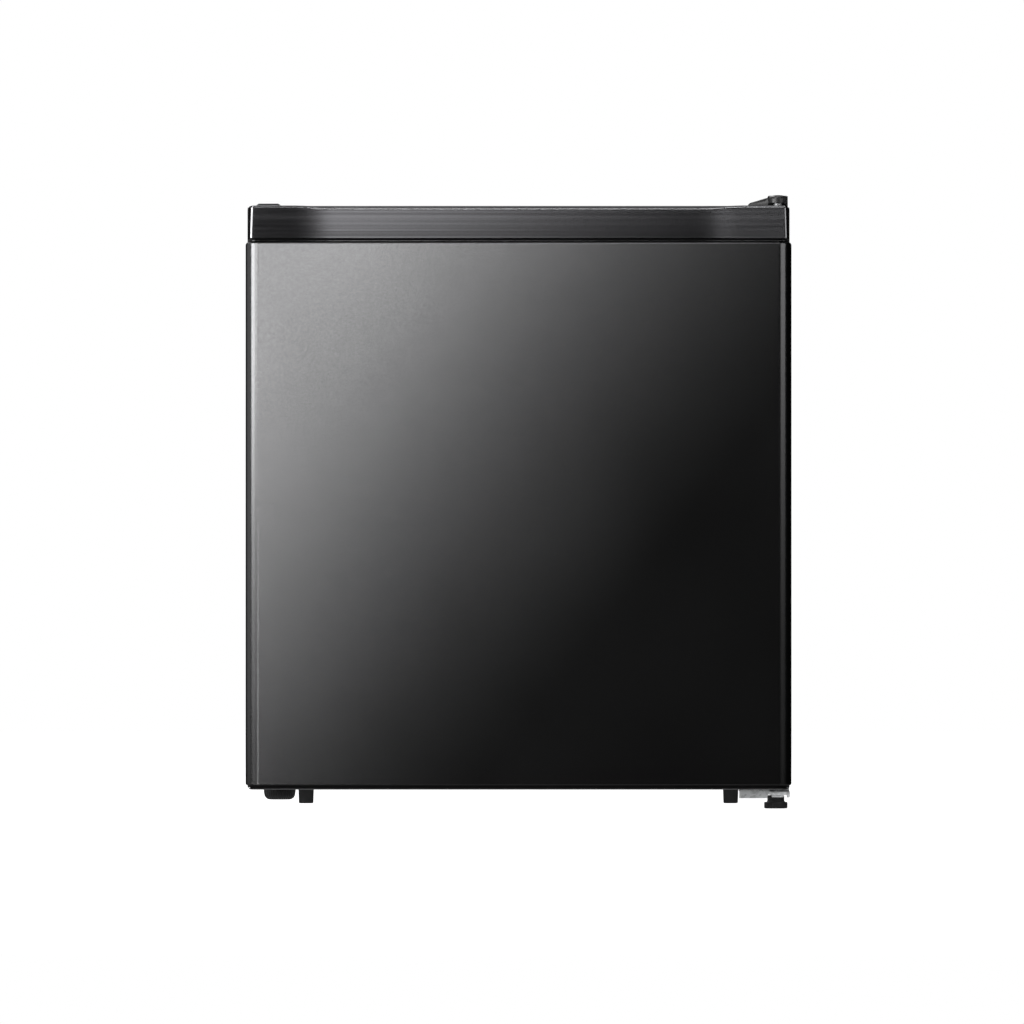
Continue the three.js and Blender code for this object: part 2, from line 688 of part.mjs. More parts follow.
// The tray that catches meltwater, in two rails under the ice box.
function dripTray() {
  const { x, y, z, wall, flange } = TRAY;
  const railFoot = 329;
  const footTop = railFoot + 1.5;
  const rails = [
    ["tray_rail_left", [-170, -168.5], [-170, -162]],
    ["tray_rail_right", [66.5, 68], [60, 68]],
  ];
  for (const [name, web, foot] of rails) {
    const run = [-60, 130];
    const upright = block(web, run, [railFoot, ICE_BOX.z[0] - GAP]);
    add(name, upright.add(block(foot, run, [railFoot, footTop])), "whitePlastic");
  }
  const body = block(x, y, z);
  const hollow = block([x[0] + wall, x[1] - wall], [y[0] + wall, y[1] - wall], [z[0] + wall, z[1] + 5]);
  const flanges = block([x[0] - flange, x[1] + flange], [y[0] + 4, y[1]], [footTop + GAP, footTop + 1.8]);
  const grip = block([-90, -12], [y[0] - 6, y[0] + 1], [z[1] - 3, z[1]]);
  add("drip_tray", cut(join([body, flanges, grip]), [hollow]), "clearPlastic");
}

function thermostat() {
  const side = polygon([
    [DIAL.front, CAVITY.ceiling - GAP],
    [DIAL.front, 408],
    [DIAL.front + 9, 396],
    [60, 396],
    [60, CAVITY.ceiling - GAP],
  ]);
  const bore = prism("y", circle(DIAL.x, DIAL.z, 4.4), [-60, DIAL.front + 12], 7);
  const housing = prism("x", side, [86, 172]).subtract(bore);
  add("thermostat_housing", housing, "whitePlastic");
  const back = DIAL.front - GAP;
  const rib = block([DIAL.x - 2.5, DIAL.x + 2.5], [back - 16, back - 8], [DIAL.z - 16, DIAL.z + 16]);
  const dial = join([
    prism("y", circle(DIAL.x, DIAL.z, DIAL.radius), [back - 9, back], 14),
    prism("y", circle(DIAL.x, DIAL.z, 4), [back - 1, back + 11], 6),
    rib,
  ]);
  add("thermostat_dial", dial, "whitePlastic");
}

// ---- cooling system ----
// Two welded steel shells, oval in plan, on a foot plate that hangs in four rubber grommets.
function compressor() {
  const { x, y, radius, stretch, bottom } = COMPRESSOR;
  const dome = (centre, rise, from, to, steps) =>
    Array.from({ length: steps + 1 }, (_, i) => {
      const angle = from + ((to - from) * i) / steps;
      return [radius * Math.cos(angle), centre + rise * Math.sin(angle)];
    });
  const seam = 104;
  const profile = [
    ...dome(bottom + 26, 26, -Math.PI / 2, 0, 5),
    [radius, seam - 2],
    [radius + 3, seam - 2],
    [radius + 3, seam + 2],
    [radius - 1, seam + 2],
    ...dome(128, 32, 0, Math.PI / 2, 6).slice(1),
  ];
  profile[0][0] = 0;
  profile[profile.length - 1][0] = 0;
  const points = profile.map(([r, z]) => new THREE.Vector2(r, z));
  const shell = new THREE.LatheGeometry(points, 26).rotateX(Math.PI / 2).scale(stretch, 1, 1);
  const feet = COMPRESSOR_FEET;
  const ear = 11;
  const platePlan = rounded(
    [x - feet.x - ear, x + feet.x + ear],
    [y - feet.y - ear, y + feet.y + ear],
    [ear, ear, ear, ear],
  );
  const holes = footPlaces().map((place) => rod(7.3, place, [20, 50]));
  const plate = cut(prism("z", platePlan, feet.z), holes);
  add("compressor", solidOf(shell.translate(x, y, 0)).add(plate), "blackPaint");
}

function footPlaces() {
  const { x, y } = COMPRESSOR;
  const corners = [[-1, -1], [1, -1], [1, 1], [-1, 1]];
  return corners.map(([i, j]) => [x + i * COMPRESSOR_FEET.x, y + j * COMPRESSOR_FEET.y]);
}

function compressorMounts() {
  const low = FLOOR_TOP + GAP;
  const [plateLow, plateHigh] = COMPRESSOR_FEET.z;
  footPlaces().forEach((place, i) => {
    const grommet = [
      [4.3, low],
      [11, low],
      [11, plateLow - GAP],
      [7, plateLow - GAP],
      [7, plateHigh + GAP],
      [10, plateHigh + GAP],
      [9, 40],
      [4.3, 40],
      [4.3, low],
    ];
    add("compressor_grommet_" + (i + 1), turned(grommet, place, 12), "blackRubber");
    const bolt = rod(4, place, [low, 47], 12);
    const nut = rod(6.6, place, [41.5, 45.5], 6);
    add("compressor_bolt_" + (i + 1), join([bolt, nut, rod(9, place, [40.3, 41.8], 16)]), "zinc");
  });
}

// The cover over the start relay and terminals, and the gland through which the supply lead enters.
function relayCover() {
  const right = COMPRESSOR.x - (COMPRESSOR.radius + 3) * COMPRESSOR.stretch - 1;
  const left = right - 30;
  const y = [112, 164];
  const cover = prism("y", rounded([left, right], [60, 120], [5, 1, 1, 5]), y, 3);
  add("relay_cover", cover, "blackPlastic");
  const profile = [[3.8, 0], [9, 0], [9, 3], [6.6, 3], [5.8, 14], [3.8, 14], [3.8, 0]];
  const points = profile.map(([r, z]) => new THREE.Vector2(r, z));
  const ring = new THREE.LatheGeometry(points, 20).rotateZ(Math.PI / 2);
  add("cord_gland", solidOf(ring.translate(left - GAP, middle(y), 76)), "blackPlastic");
}

// One serpentine tube with wires welded across it and two stand-off strips that hold it off the back.
function condenser() {
  const { half, y, bottom, pitch, runs, tube: radius, wires } = CONDENSER;
  const bend = pitch / 2;
  const top = bottom + (runs - 1) * pitch;
  const place = (x, z) => new THREE.Vector3(x, y, z);
  const points = [];
  for (let run = 0; run < runs; run++) {
    const z = top - run * pitch;
    const way = run % 2 ? 1 : -1; // the first run, at the top, goes to the left
    if (run === 0) points.push(place(half - bend, z));
    if (run === runs - 1) break;
    for (let i = 0; i <= 6; i++) {
      const angle = (Math.PI * i) / 6;
      points.push(place(way * (half - bend + bend * Math.sin(angle)), z - bend + bend * Math.cos(angle)));
    }
  }
  points.push(place(LIQUID_START, bottom));
  const grid = [];
  const wire = 1;
  for (let i = 0; i < wires; i++) {
    const x = -half + 38 + ((2 * half - 76) * i) / (wires - 1);
    grid.push(block([x - wire, x + wire], [y + radius - 1.2, y + radius + 1], [bottom - 6, top + 6]));
  }
  for (const side of [-1, 1]) {
    const x = side * 168;
    const foot = [x, x + side * 14].sort((a, b) => a - b);
    const heights = [bottom + 10, top - 10];
    grid.push(block([x - 0.8, x + 0.8], [CABINET.back + GAP, 233], heights));
    grid.push(block(foot, [CABINET.back + GAP, CABINET.back + 1.8], heights));
  }
  add("condenser", join([bar(points, radius), ...grid]), "blackPaint");
}

// The outlet drops from the last run and turns forwards and up into the bottom of the filter drier.
function liquidTube() {
  const { half, y, bottom, tube: radius } = CONDENSER;
  const drop = -half + 24;
  const [drierX, drierY] = DRIER.place;
  const outlet = [
    [LIQUID_START - GAP, y, bottom],
    [LIQUID_START - 2.3, y, bottom],
    [drop + 4.5, y, bottom - 1.6],
    [drop + 1.6, y, bottom - 5],
    [drop + 0.3, y, bottom - 10.5],
    [drop, y, bottom - 18],
    [drop, y, 92],
    [drop + 2, y - 4, 74],
    [drop + 10, y - 14, 60],
    [drierX - 16, drierY + 12, 53],
    [drierX - 6, drierY + 4.5, 55],
    [drierX - 1, drierY + 0.8, 61],
    [drierX, drierY, DRIER.bottom - 4],
    [drierX, drierY, DRIER.bottom - GAP],
  ];
  add("liquid_tube", bar(outlet.map((p) => new THREE.Vector3(...p)), radius), "copper");
}

function filterDrier() {
  const { place, bottom, top } = DRIER;
  const profile = [
    [0, bottom],
    [3, bottom],
    [3, bottom + 6],
    [9.5, bottom + 13],
    [9.5, top - 13],
    [3, top - 6],
    [3, top],
    [0, top],
  ];
  add("filter_drier", turned(profile, place, 16), "copper");
}

// The capillary makes a short coil between the drier and the point where it enters the insulation.
function capillaryTube() {
  const [x, y] = DRIER.place;
  const coil = 15;
  const places = [[x, y, DRIER.top + GAP], [x, y, DRIER.top + 6]];
  for (let i = 0; i <= 18; i++) {
    const angle = (2 * Math.PI * i) / 10;
    places.push([x - coil + coil * Math.cos(angle), y - coil * Math.sin(angle) * 0.8, 161 + i * 0.62]);
  }
  places.push([x - 2 * coil + 6, y - 22, 176], [x - 2 * coil + 10, y - 24, STEP.top - 1]);
  add("capillary_tube", tube(places, 1.2, 44, 6), "copper");
}

function refrigerantTubes() {
  const { x, y } = COMPRESSOR;
  const shellLeft = x - COMPRESSOR.radius * COMPRESSOR.stretch;
  const suction = [
    [shellLeft + 8, y - 28, 134],
    [shellLeft - 10, y - 34, 136],
    [shellLeft - 26, y - 36, 148],
    [shellLeft - 30, y - 36, 170],
    [shellLeft - 30, y - 36, STEP.top - 1],
  ];
  add("suction_tube", tube(suction, 3.5, 18), "copper");
  const shellRight = x + COMPRESSOR.radius * COMPRESSOR.stretch;
  const end = CONDENSER.bottom + (CONDENSER.runs - 1) * CONDENSER.pitch;
  const right = CONDENSER.half - CONDENSER.pitch / 2;
  const discharge = [
    [shellRight + 5, y + 6, 84],
    [shellRight + 22, y + 10, 84],
    [shellRight + 46, y + 30, 92],
    [shellRight + 62, y + 66, 130],
    [shellRight + 68, y + 84, 180],
    [shellRight + 70, CONDENSER.y, 240],
    [shellRight + 70, CONDENSER.y, end - 40],
    [shellRight + 66, CONDENSER.y, end - 10],
    [shellRight + 54, CONDENSER.y, end],
    [right + 0.6, CONDENSER.y, end],
  ];
  add("discharge_tube", tube(discharge, 2.5, 36), "copper");
  const process = [
    [shellRight - 2, y - 26, 84],
    [shellRight + 14, y - 32, 84],
    [shellRight + 24, y - 34, 94],
    [shellRight + 25, y - 34, 128],
  ];
  add("process_tube", tube(process, 3, 14), "copper");
}

sidePanels();
topPanel();
backPanel();
basePlate();
frontFrame();
insulation();
innerLiner();
levellingFeet();
rearFeet();
doorSkin();
doorFoam();
doorTopCap();
doorBottomCap();
doorBushes();
doorLiner();
doorGasket();
doorRack("door_rack_lower", LOWER_RACK);
doorRack("door_rack_upper", UPPER_RACK);
topHinge();
topHingeCover();
spareHoleCover();
lowerHinge();
shelf();
iceBox();
iceFlap();
dripTray();
thermostat();
compressor();
compressorMounts();
relayCover();
condenser();
liquidTube();
filterDrier();
capillaryTube();
refrigerantTubes();

export default root;
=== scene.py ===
"""The looks of a compact cube refrigerator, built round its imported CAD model.

Every length is in metres, in the CAD model's own frame: +X right, +Y back, +Z up, floor at z = 0.
"""
import math

import bmesh
import bpy
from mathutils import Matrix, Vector


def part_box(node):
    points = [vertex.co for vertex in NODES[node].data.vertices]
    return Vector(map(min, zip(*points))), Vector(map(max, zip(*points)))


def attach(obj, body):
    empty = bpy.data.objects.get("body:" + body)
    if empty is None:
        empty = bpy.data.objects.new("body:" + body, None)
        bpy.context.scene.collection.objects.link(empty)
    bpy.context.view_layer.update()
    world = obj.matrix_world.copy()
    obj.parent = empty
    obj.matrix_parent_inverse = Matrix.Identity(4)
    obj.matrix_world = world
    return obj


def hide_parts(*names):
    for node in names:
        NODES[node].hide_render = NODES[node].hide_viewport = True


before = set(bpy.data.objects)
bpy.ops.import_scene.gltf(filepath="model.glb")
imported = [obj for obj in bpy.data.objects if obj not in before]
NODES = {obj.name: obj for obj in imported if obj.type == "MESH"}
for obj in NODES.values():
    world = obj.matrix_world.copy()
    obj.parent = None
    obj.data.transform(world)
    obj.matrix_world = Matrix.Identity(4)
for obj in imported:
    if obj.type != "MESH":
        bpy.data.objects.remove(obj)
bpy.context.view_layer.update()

MM = 0.001
TAU = 2 * math.pi


# ---------------------------------------------------------------- meshes
def new_object(name, vertices, faces, smooth_angle=35):
    """A mesh object from vertices and faces, with its normals made to face outwards."""
    mesh = bpy.data.meshes.new(name)
    mesh.from_pydata([tuple(v) for v in vertices], [], faces)
    work = bmesh.new()
    work.from_mesh(mesh)
    bmesh.ops.remove_doubles(work, verts=work.verts, dist=1e-6)
    bmesh.ops.recalc_face_normals(work, faces=work.faces)
    work.to_mesh(mesh)
    work.free()
    piece = bpy.data.objects.new(name, mesh)
    bpy.context.collection.objects.link(piece)
    shade(piece, smooth_angle)
    return piece


def shade(piece, smooth_angle):
    """Smooth shading, except over edges sharper than an angle in degrees."""
    mesh = piece.data
    mesh.shade_smooth()
    mesh.set_sharp_from_angle(angle=math.radians(smooth_angle))


def dress(piece, material, body, slot, *replaced):
    """Gives a new piece its material, the body it rides on, and the CAD nodes it stands for."""
    piece.data.materials.append(material)
    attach(piece, body)
    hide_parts(*replaced)


def bevel(piece, width, segments=2, angle=30):
    """Rounds the edges that are sharper than an angle in degrees."""
    cut = piece.modifiers.new("edges", "BEVEL")
    cut.width = width
    cut.segments = segments
    cut.limit_method = "ANGLE"
    cut.angle_limit = math.radians(angle)
    cut.use_clamp_overlap = True
    cut.miter_outer = "MITER_ARC"
    normals = piece.modifiers.new("normals", "WEIGHTED_NORMAL")
    normals.keep_sharp = True


def finish_node(name, material, edge, smooth_angle=32):
    """A CAD node keeps its shape: its facets are merged, its edges softened and its material set."""
    piece = NODES[name]
    mesh = piece.data
    if "custom_normal" in mesh.attributes:
        mesh.attributes.remove(mesh.attributes["custom_normal"])
    shade(piece, smooth_angle)
    weld = piece.modifiers.new("weld", "WELD")
    weld.merge_threshold = 1e-6
    flat = piece.modifiers.new("flat", "DECIMATE")
    flat.decimate_type = "DISSOLVE"
    flat.angle_limit = math.radians(0.5)
    flat.delimit = {"SHARP"}
    if edge:
        bevel(piece, edge)
    mesh.materials.clear()
    mesh.materials.append(material)


def loft(name, rings, closed=True, capped=True, smooth_angle=35):
    """Skins a list of rings of equal length. closed says whether each ring meets its own start, and capped
    whether the first and last rings are filled."""
    count = len(rings[0])
    vertices = [p for ring in rings for p in ring]
    faces = []
    for r in range(len(rings) - 1):
        for i in range(count if closed else count - 1):
            j = (i + 1) % count
            faces.append((r * count + i, r * count + j, (r + 1) * count + j, (r + 1) * count + i))
    if closed and capped:
        faces.append(tuple(range(count - 1, -1, -1)))
        faces.append(tuple(range((len(rings) - 1) * count, len(rings) * count)))
    return new_object(name, vertices, faces, smooth_angle)


def lathe(name, profile, centre, segments=48, radius_of=None, smooth_angle=35):
    """Turns [radius, height] points about a vertical axis; radius_of(angle, radius, i) may shape each one."""
    rings = []
    for i, (radius, height) in enumerate(profile):
        ring = []
        for k in range(segments):
            angle = TAU * k / segments
            r = radius_of(angle, radius, i) if radius_of else radius
            ring.append((centre[0] + r * math.cos(angle), centre[1] + r * math.sin(angle), height))
        rings.append(ring)
    return loft(name, rings, smooth_angle=smooth_angle)


def quarter(steps):
    """The angles of a quarter turn in equal steps."""
    return [0.5 * math.pi * i / steps for i in range(steps + 1)]


def fillet(centre, radius, start, end, steps):
    """Points of an arc in a profile plane, from one angle in degrees to another."""
    points = []
    for i in range(steps + 1):
        angle = math.radians(start + (end - start) * i / steps)
        points.append((centre[0] + radius * math.cos(angle), centre[1] + radius * math.sin(angle)))
    return points


def sweep(name, path, radius, sides):
    """A round bar along a list of points, its section turned as little as possible from point to point."""
    path = [Vector(p) for p in path]
    tangents = []
    for i in range(len(path)):
        before = path[max(i - 1, 0)]
        after = path[min(i + 1, len(path) - 1)]
        tangents.append((after - before).normalized())
    side = tangents[0].orthogonal().normalized()
    rings = []
    for i, point in enumerate(path):
        if i:
            side = tangents[i - 1].rotation_difference(tangents[i]) @ side
        across = tangents[i].cross(side).normalized()
        ring = []
        for k in range(sides):
            angle = TAU * k / sides
            ring.append(point + radius * (math.cos(angle) * side + math.sin(angle) * across))
        rings.append(ring)
    return loft(name, rings, smooth_angle=40)


def smooth_path(places, steps):
    """Catmull-Rom points through a few chosen places."""
    places = [Vector(p) for p in places]
    ends = [2 * places[0] - places[1], *places, 2 * places[-1] - places[-2]]
    points = []
    for i in range(1, len(ends) - 2):
        a, b, c, d = ends[i - 1 : i + 3]
        for k in range(steps):
            t = k / steps
            curve = (2 * a - 5 * b + 4 * c - d) * t**2 + (3 * b - a - 3 * c + d) * t**3
            points.append(0.5 * (2 * b + (c - a) * t + curve))
    points.append(places[-1])
    return points


def join(name, pieces):
    """Makes one new object from several, which are removed."""
    work = bmesh.new()
    for piece in pieces:
        work.from_mesh(piece.data)
    mesh = bpy.data.meshes.new(name)
    work.to_mesh(mesh)
    work.free()
    for piece in pieces:
        bpy.data.objects.remove(piece)
    whole = bpy.data.objects.new(name, mesh)
    bpy.context.collection.objects.link(whole)
    return whole


def rounded_loop(x0, x1, y0, y1, radius, z, along=24, across=6, corner=6):
    """A closed loop round a rectangle in plan, always with the same number of points, so loops can be lofted.

    radius is one number, or the radii of the front-left, front-right, back-right and back-left corners."""
    radii = radius if isinstance(radius, tuple) else (radius,) * 4
    corners = [
        (x0 + radii[0], y0 + radii[0], radii[0], math.pi),
        (x1 - radii[1], y0 + radii[1], radii[1], 1.5 * math.pi),
        (x1 - radii[2], y1 - radii[2], radii[2], 0.0),
        (x0 + radii[3], y1 - radii[3], radii[3], 0.5 * math.pi),
    ]
    arcs = []
    for x, y, r, start in corners:
        angles = [start + turned for turned in quarter(corner)]
        arcs.append([(x + r * math.cos(angle), y + r * math.sin(angle)) for angle in angles])
    plan = []
    for side, arc in enumerate(arcs):
        plan += arc
        steps = along if side % 2 == 0 else across
        (ax, ay), (bx, by) = arc[-1], arcs[(side + 1) % 4][0]
        plan += [(ax + (bx - ax) * i / steps, ay + (by - ay) * i / steps) for i in range(1, steps)]
    return [(x, y, z) for x, y in plan]


def smooth_step(value, start, end):
    """0 up to the start, 1 from the end on, and an easy change between them."""
    t = min(max((value - start) / (end - start), 0), 1)
    return t * t * (3 - 2 * t)


def plan_centre(node):
    """The middle of a CAD node's box, seen from above."""
    low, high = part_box(node)
    return (low.x + high.x) / 2, (low.y + high.y) / 2


# ---------------------------------------------------------------- materials
class Finish:
    """A material around one Principled shader, with helpers that wire procedural detail into it."""

    def __init__(self, name, colour, roughness, metallic=0.0, **sockets):
        self.name = name
        self.material = bpy.data.materials.new(name)
        self.material.use_nodes = True
        self.tree = self.material.node_tree
        self.shader = self.tree.nodes["Principled BSDF"]
        self.shader.inputs["Base Color"].default_value = (*colour, 1)
        self.shader.inputs["Roughness"].default_value = roughness
        self.shader.inputs["Metallic"].default_value = metallic
        for socket, value in sockets.items():
            self.shader.inputs[socket.replace("_", " ")].default_value = value
        self.colour, self.roughness = colour, roughness
        coordinates = self.tree.nodes.new("ShaderNodeTexCoord")
        self.place = coordinates.outputs["Object"]
        self.normal = None

    def node(self, kind, **values):
        made = self.tree.nodes.new(kind)
        for key, value in values.items():
            setattr(made, key, value)
        return made

    def link(self, source, target):
        self.tree.links.new(source, target)

    def stretched(self, scale):
        """Object coordinates, multiplied axis by axis."""
        mapping = self.node("ShaderNodeMapping")
        mapping.inputs["Scale"].default_value = scale
        self.link(self.place, mapping.inputs["Vector"])
        return mapping.outputs["Vector"]

    def noise(self, scale=(1, 1, 1), size=1.0, detail=3.0, rough=0.5):
        texture = self.node("ShaderNodeTexNoise")
        texture.inputs["Scale"].default_value = size
        texture.inputs["Detail"].default_value = detail
        texture.inputs["Roughness"].default_value = rough
        self.link(self.stretched(scale), texture.inputs["Vector"])
        return texture.outputs["Fac"]

    def cells(self, size):
        texture = self.node("ShaderNodeTexVoronoi")
        texture.inputs["Scale"].default_value = size
        self.link(self.place, texture.inputs["Vector"])
        return texture.outputs["Color"]

    def span(self, source, low, high, start=0.3, end=0.7):
        """Maps a texture's middle range to low..high."""
        scale = self.node("ShaderNodeMapRange")
        for socket, value in (("From Min", start), ("From Max", end), ("To Min", low), ("To Max", high)):
            scale.inputs[socket].default_value = value
        self.link(source, scale.inputs["Value"])
        return scale.outputs["Result"]

    def vary_roughness(self, source, spread):
        varied = self.span(source, self.roughness - spread, self.roughness + spread)
        self.link(varied, self.shader.inputs["Roughness"])
        return self

    def vary_colour(self, source, dark, light):
        """Blends between two tints of the base colour."""
        mix = self.node("ShaderNodeMix", data_type="RGBA")
        mix.inputs["A"].default_value = (*[c * dark for c in self.colour], 1)
        mix.inputs["B"].default_value = (*[min(c * light, 1) for c in self.colour], 1)
        self.link(self.span(source, 0, 1), mix.inputs["Factor"])
        self.link(mix.outputs["Result"], self.shader.inputs["Base Color"])
        return self

    def bump(self, source, strength, distance):
        """Bumps stack: each one is laid over those made before it."""
        raised = self.node("ShaderNodeBump")
        raised.inputs["Strength"].default_value = strength
        raised.inputs["Distance"].default_value = distance
        self.link(source, raised.inputs["Height"])
        if self.normal:
            self.link(self.normal, raised.inputs["Normal"])
        self.normal = raised.outputs["Normal"]
        self.link(self.normal, self.shader.inputs["Normal"])
        return self


def make_finishes():
    """Every finish of the refrigerator, by its name."""
    # dark coated steel: a fine isotropic grain in the coating, and the faintest unevenness in the sheet
    steel = Finish("dark_steel", (0.16, 0.16, 0.162), 0.215, 1.0)
    steel.vary_roughness(steel.noise(size=7, detail=2), 0.01)
    steel.vary_colour(steel.noise(size=900, detail=2), 0.9, 1.1)
    steel.bump(steel.noise(size=1400, detail=2), 0.25, 0.00002)
    # the end cap: a printed hairline brush along the door's width under clear lacquer
    cap = Finish("hairline_cap", (0.067, 0.067, 0.07), 0.2, 1.0)
    cap.vary_colour(cap.noise((0.5, 50, 420), 1.0, 2), 0.7, 1.34)
    cap.vary_roughness(cap.noise((2, 200, 900), 1.0, 2), 0.02)
    cap.bump(cap.noise((4, 300, 2200), 1.0, 2), 0.12, 0.00003)
    # brighter metal for the cap's front corners and top edge: partly a polished edge, partly a painted
    # highlight
    edge = Finish("polished_edge_and_highlight", (0.4, 0.4, 0.41), 0.24, 1.0)
    edge.vary_roughness(edge.noise(size=20, detail=2), 0.02)
    edge.vary_colour(edge.noise(size=40, detail=3), 0.94, 1.05)
    edge.bump(edge.noise(size=1500, detail=2), 0.04, 0.00001)
    # textured black paint of the cabinet: a fine orange peel
    paint = Finish("cabinet_paint", (0.016, 0.016, 0.017), 0.42)
    paint.vary_roughness(paint.noise(size=12, detail=2), 0.012)
    paint.vary_colour(paint.noise(size=500, detail=3), 0.85, 1.2)
    paint.bump(paint.noise(size=620, detail=2), 0.35, 0.00006)
    # glossier black enamel of the compressor and condenser
    enamel = Finish("black_enamel", (0.01, 0.01, 0.0105), 0.28, Coat_Weight=0.3, Coat_Roughness=0.15)
    enamel.vary_roughness(enamel.noise(size=60, detail=4), 0.08)
    enamel.vary_colour(enamel.noise(size=25, detail=4), 0.8, 1.5)
    enamel.bump(enamel.noise(size=180, detail=3), 0.2, 0.00008)
    plastic = Finish("black_plastic", (0.011, 0.011, 0.0115), 0.46)
    plastic.vary_roughness(plastic.noise(size=90, detail=4), 0.07)
    plastic.vary_colour(plastic.noise(size=40, detail=3), 0.8, 1.35)
    plastic.bump(plastic.noise(size=2400, detail=1), 0.3, 0.00003)
    hood = Finish("hood_plastic", (0.022, 0.022, 0.0225), 0.26)
    hood.vary_roughness(hood.noise(size=90, detail=4), 0.05)
    hood.vary_colour(hood.noise(size=40, detail=3), 0.8, 1.35)
    hood.bump(hood.noise(size=2400, detail=1), 0.15, 0.00002)
    # a lighter plastic for the forward faces of the door's bottom rim: a painted highlight
    highlight_satin = Finish("painted_highlight_satin", (0.055, 0.055, 0.057), 0.42)
    highlight_satin.vary_roughness(highlight_satin.noise(size=90, detail=4), 0.05)
    highlight_satin.vary_colour(highlight_satin.noise(size=40, detail=3), 0.85, 1.25)
    highlight_satin.bump(highlight_satin.noise(size=2400, detail=1), 0.25, 0.00003)
    # a near-black, barely shiny finish for the parts inside the grooves: painted shade
    shade_black = Finish("painted_shade_black", (0.004, 0.004, 0.004), 0.75, Specular_IOR_Level=0.15)
    shade_black.vary_roughness(shade_black.noise(size=120, detail=3), 0.06)
    shade_black.vary_colour(shade_black.noise(size=60, detail=3), 0.8, 1.3)
    shade_black.bump(shade_black.noise(size=1800, detail=2), 0.25, 0.00003)
    rubber = Finish("black_rubber", (0.014, 0.014, 0.014), 0.8)
    rubber.vary_colour(rubber.noise(size=70, detail=4), 0.8, 1.5)
    rubber.vary_roughness(rubber.noise(size=200), 0.08)
    rubber.bump(rubber.noise(size=900, detail=3), 0.4, 0.00005)
    seal = Finish("seal_rubber", (0.13, 0.135, 0.14), 0.62)
    seal.vary_colour(seal.noise(size=30, detail=4), 0.88, 1.1)
    seal.vary_roughness(seal.noise(size=150), 0.06)
    seal.bump(seal.noise(size=1500, detail=2), 0.25, 0.00003)
    # galvanised steel: spangles of slightly different tint and gloss
    zinc = Finish("zinc_steel", (0.66, 0.67, 0.68), 0.36, 0.3)
    spangle = zinc.node("ShaderNodeSeparateColor")
    zinc.link(zinc.cells(420), spangle.inputs["Color"])
    zinc.vary_colour(spangle.outputs["Red"], 0.8, 1.08)
    zinc.vary_roughness(spangle.outputs["Green"], 0.07)
    zinc.bump(zinc.noise(size=700, detail=3), 0.15, 0.00003)
    aluminium = Finish("aluminium", (0.72, 0.73, 0.74), 0.38, 1.0)
    aluminium.vary_roughness(aluminium.noise((4, 160, 160), 1.0, 4), 0.08)
    aluminium.vary_colour(aluminium.noise(size=14, detail=4), 0.9, 1.05)
    aluminium.bump(aluminium.noise((8, 700, 700), 1.0, 3), 0.12, 0.00003)
    copper = Finish("copper", (0.72, 0.36, 0.2), 0.32, 1.0)
    copper.vary_colour(copper.noise(size=55, detail=5, rough=0.65), 0.55, 1.08)
    copper.vary_roughness(copper.noise(size=120, detail=4), 0.1)
    copper.bump(copper.noise(size=500, detail=3), 0.12, 0.00004)
    # vacuum-formed white liner: soft gloss, a trace of unevenness from forming
    liner = Finish("liner_white", (0.8, 0.81, 0.8), 0.3)
    liner.vary_colour(liner.noise(size=400, detail=2), 0.99, 1.01)
    liner.vary_roughness(liner.noise(size=50, detail=2), 0.015)
    liner.bump(liner.noise(size=14, detail=1), 0.05, 0.0002)
    liner.bump(liner.noise(size=1300, detail=2), 0.03, 0.00001)
    trim = Finish("white_trim", (0.78, 0.79, 0.79), 0.34)
    trim.vary_colour(trim.noise(size=25, detail=4), 0.96, 1.03)
    trim.vary_roughness(trim.noise(size=110, detail=3), 0.06)
    trim.bump(trim.noise(size=1100, detail=2), 0.15, 0.00003)
    clear = Finish("clear_plastic", (0.9, 0.94, 0.955), 0.09, IOR=1.45, Transmission_Weight=0.88)
    clear.vary_roughness(clear.noise(size=200, detail=3), 0.02)
    clear.vary_colour(clear.noise(size=18, detail=3), 0.97, 1.02)
    clear.bump(clear.noise(size=15, detail=1), 0.03, 0.0002)
    glass = Finish("shelf_glass", (0.84, 0.95, 0.91), 0.02, IOR=1.52, Transmission_Weight=0.95)
    glass.vary_roughness(glass.noise(size=30, detail=5), 0.012)
    glass.vary_colour(glass.noise(size=6, detail=2), 0.98, 1.01)
    glass.bump(glass.noise(size=12, detail=2), 0.03, 0.0002)
    foam = Finish("foam", (0.72, 0.58, 0.28), 0.9)
    foam.vary_colour(foam.noise(size=60, detail=5), 0.8, 1.15)
    foam.bump(foam.cells(300), 0.5, 0.0005)
    finishes = [
        steel, cap, edge, paint, enamel, plastic, hood, highlight_satin, shade_black, rubber,
        seal, zinc, aluminium, copper, liner, trim, clear, glass, foam,
    ]
    return {finish.name: finish.material for finish in finishes}


FINISH = make_finishes()


# ---------------------------------------------------------------- camera, floor and light
def make_camera():
    """A long lens far in front of the door, level with its middle, so that the face is seen square on."""
    distance, width_seen, sensor = 17.6, 0.8287, 36
    place_x, place_z = -0.0053, 0.2408
    data = bpy.data.cameras.new("camera")
    data.sensor_width = sensor
    data.lens = sensor * distance / width_seen
    data.clip_end = 100
    camera = bpy.data.objects.new("camera", data)
    door_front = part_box("door_skin")[0].y
    camera.location = (place_x, door_front - distance, place_z)
    camera.rotation_euler = (math.pi / 2, 0, 0)
    bpy.context.collection.objects.link(camera)
    bpy.context.scene.camera = camera


def area_light(name, place, aim, size, power):
    """A flat rectangular lamp that faces a point."""
    data = bpy.data.lights.new(name, "AREA")
    data.shape = "RECTANGLE"
    data.size, data.size_y = size
    data.energy = power
    light = bpy.data.objects.new(name, data)
    light.location = place
    light.rotation_euler = (Vector(aim) - Vector(place)).to_track_quat("-Z", "Y").to_euler()
    bpy.context.collection.objects.link(light)


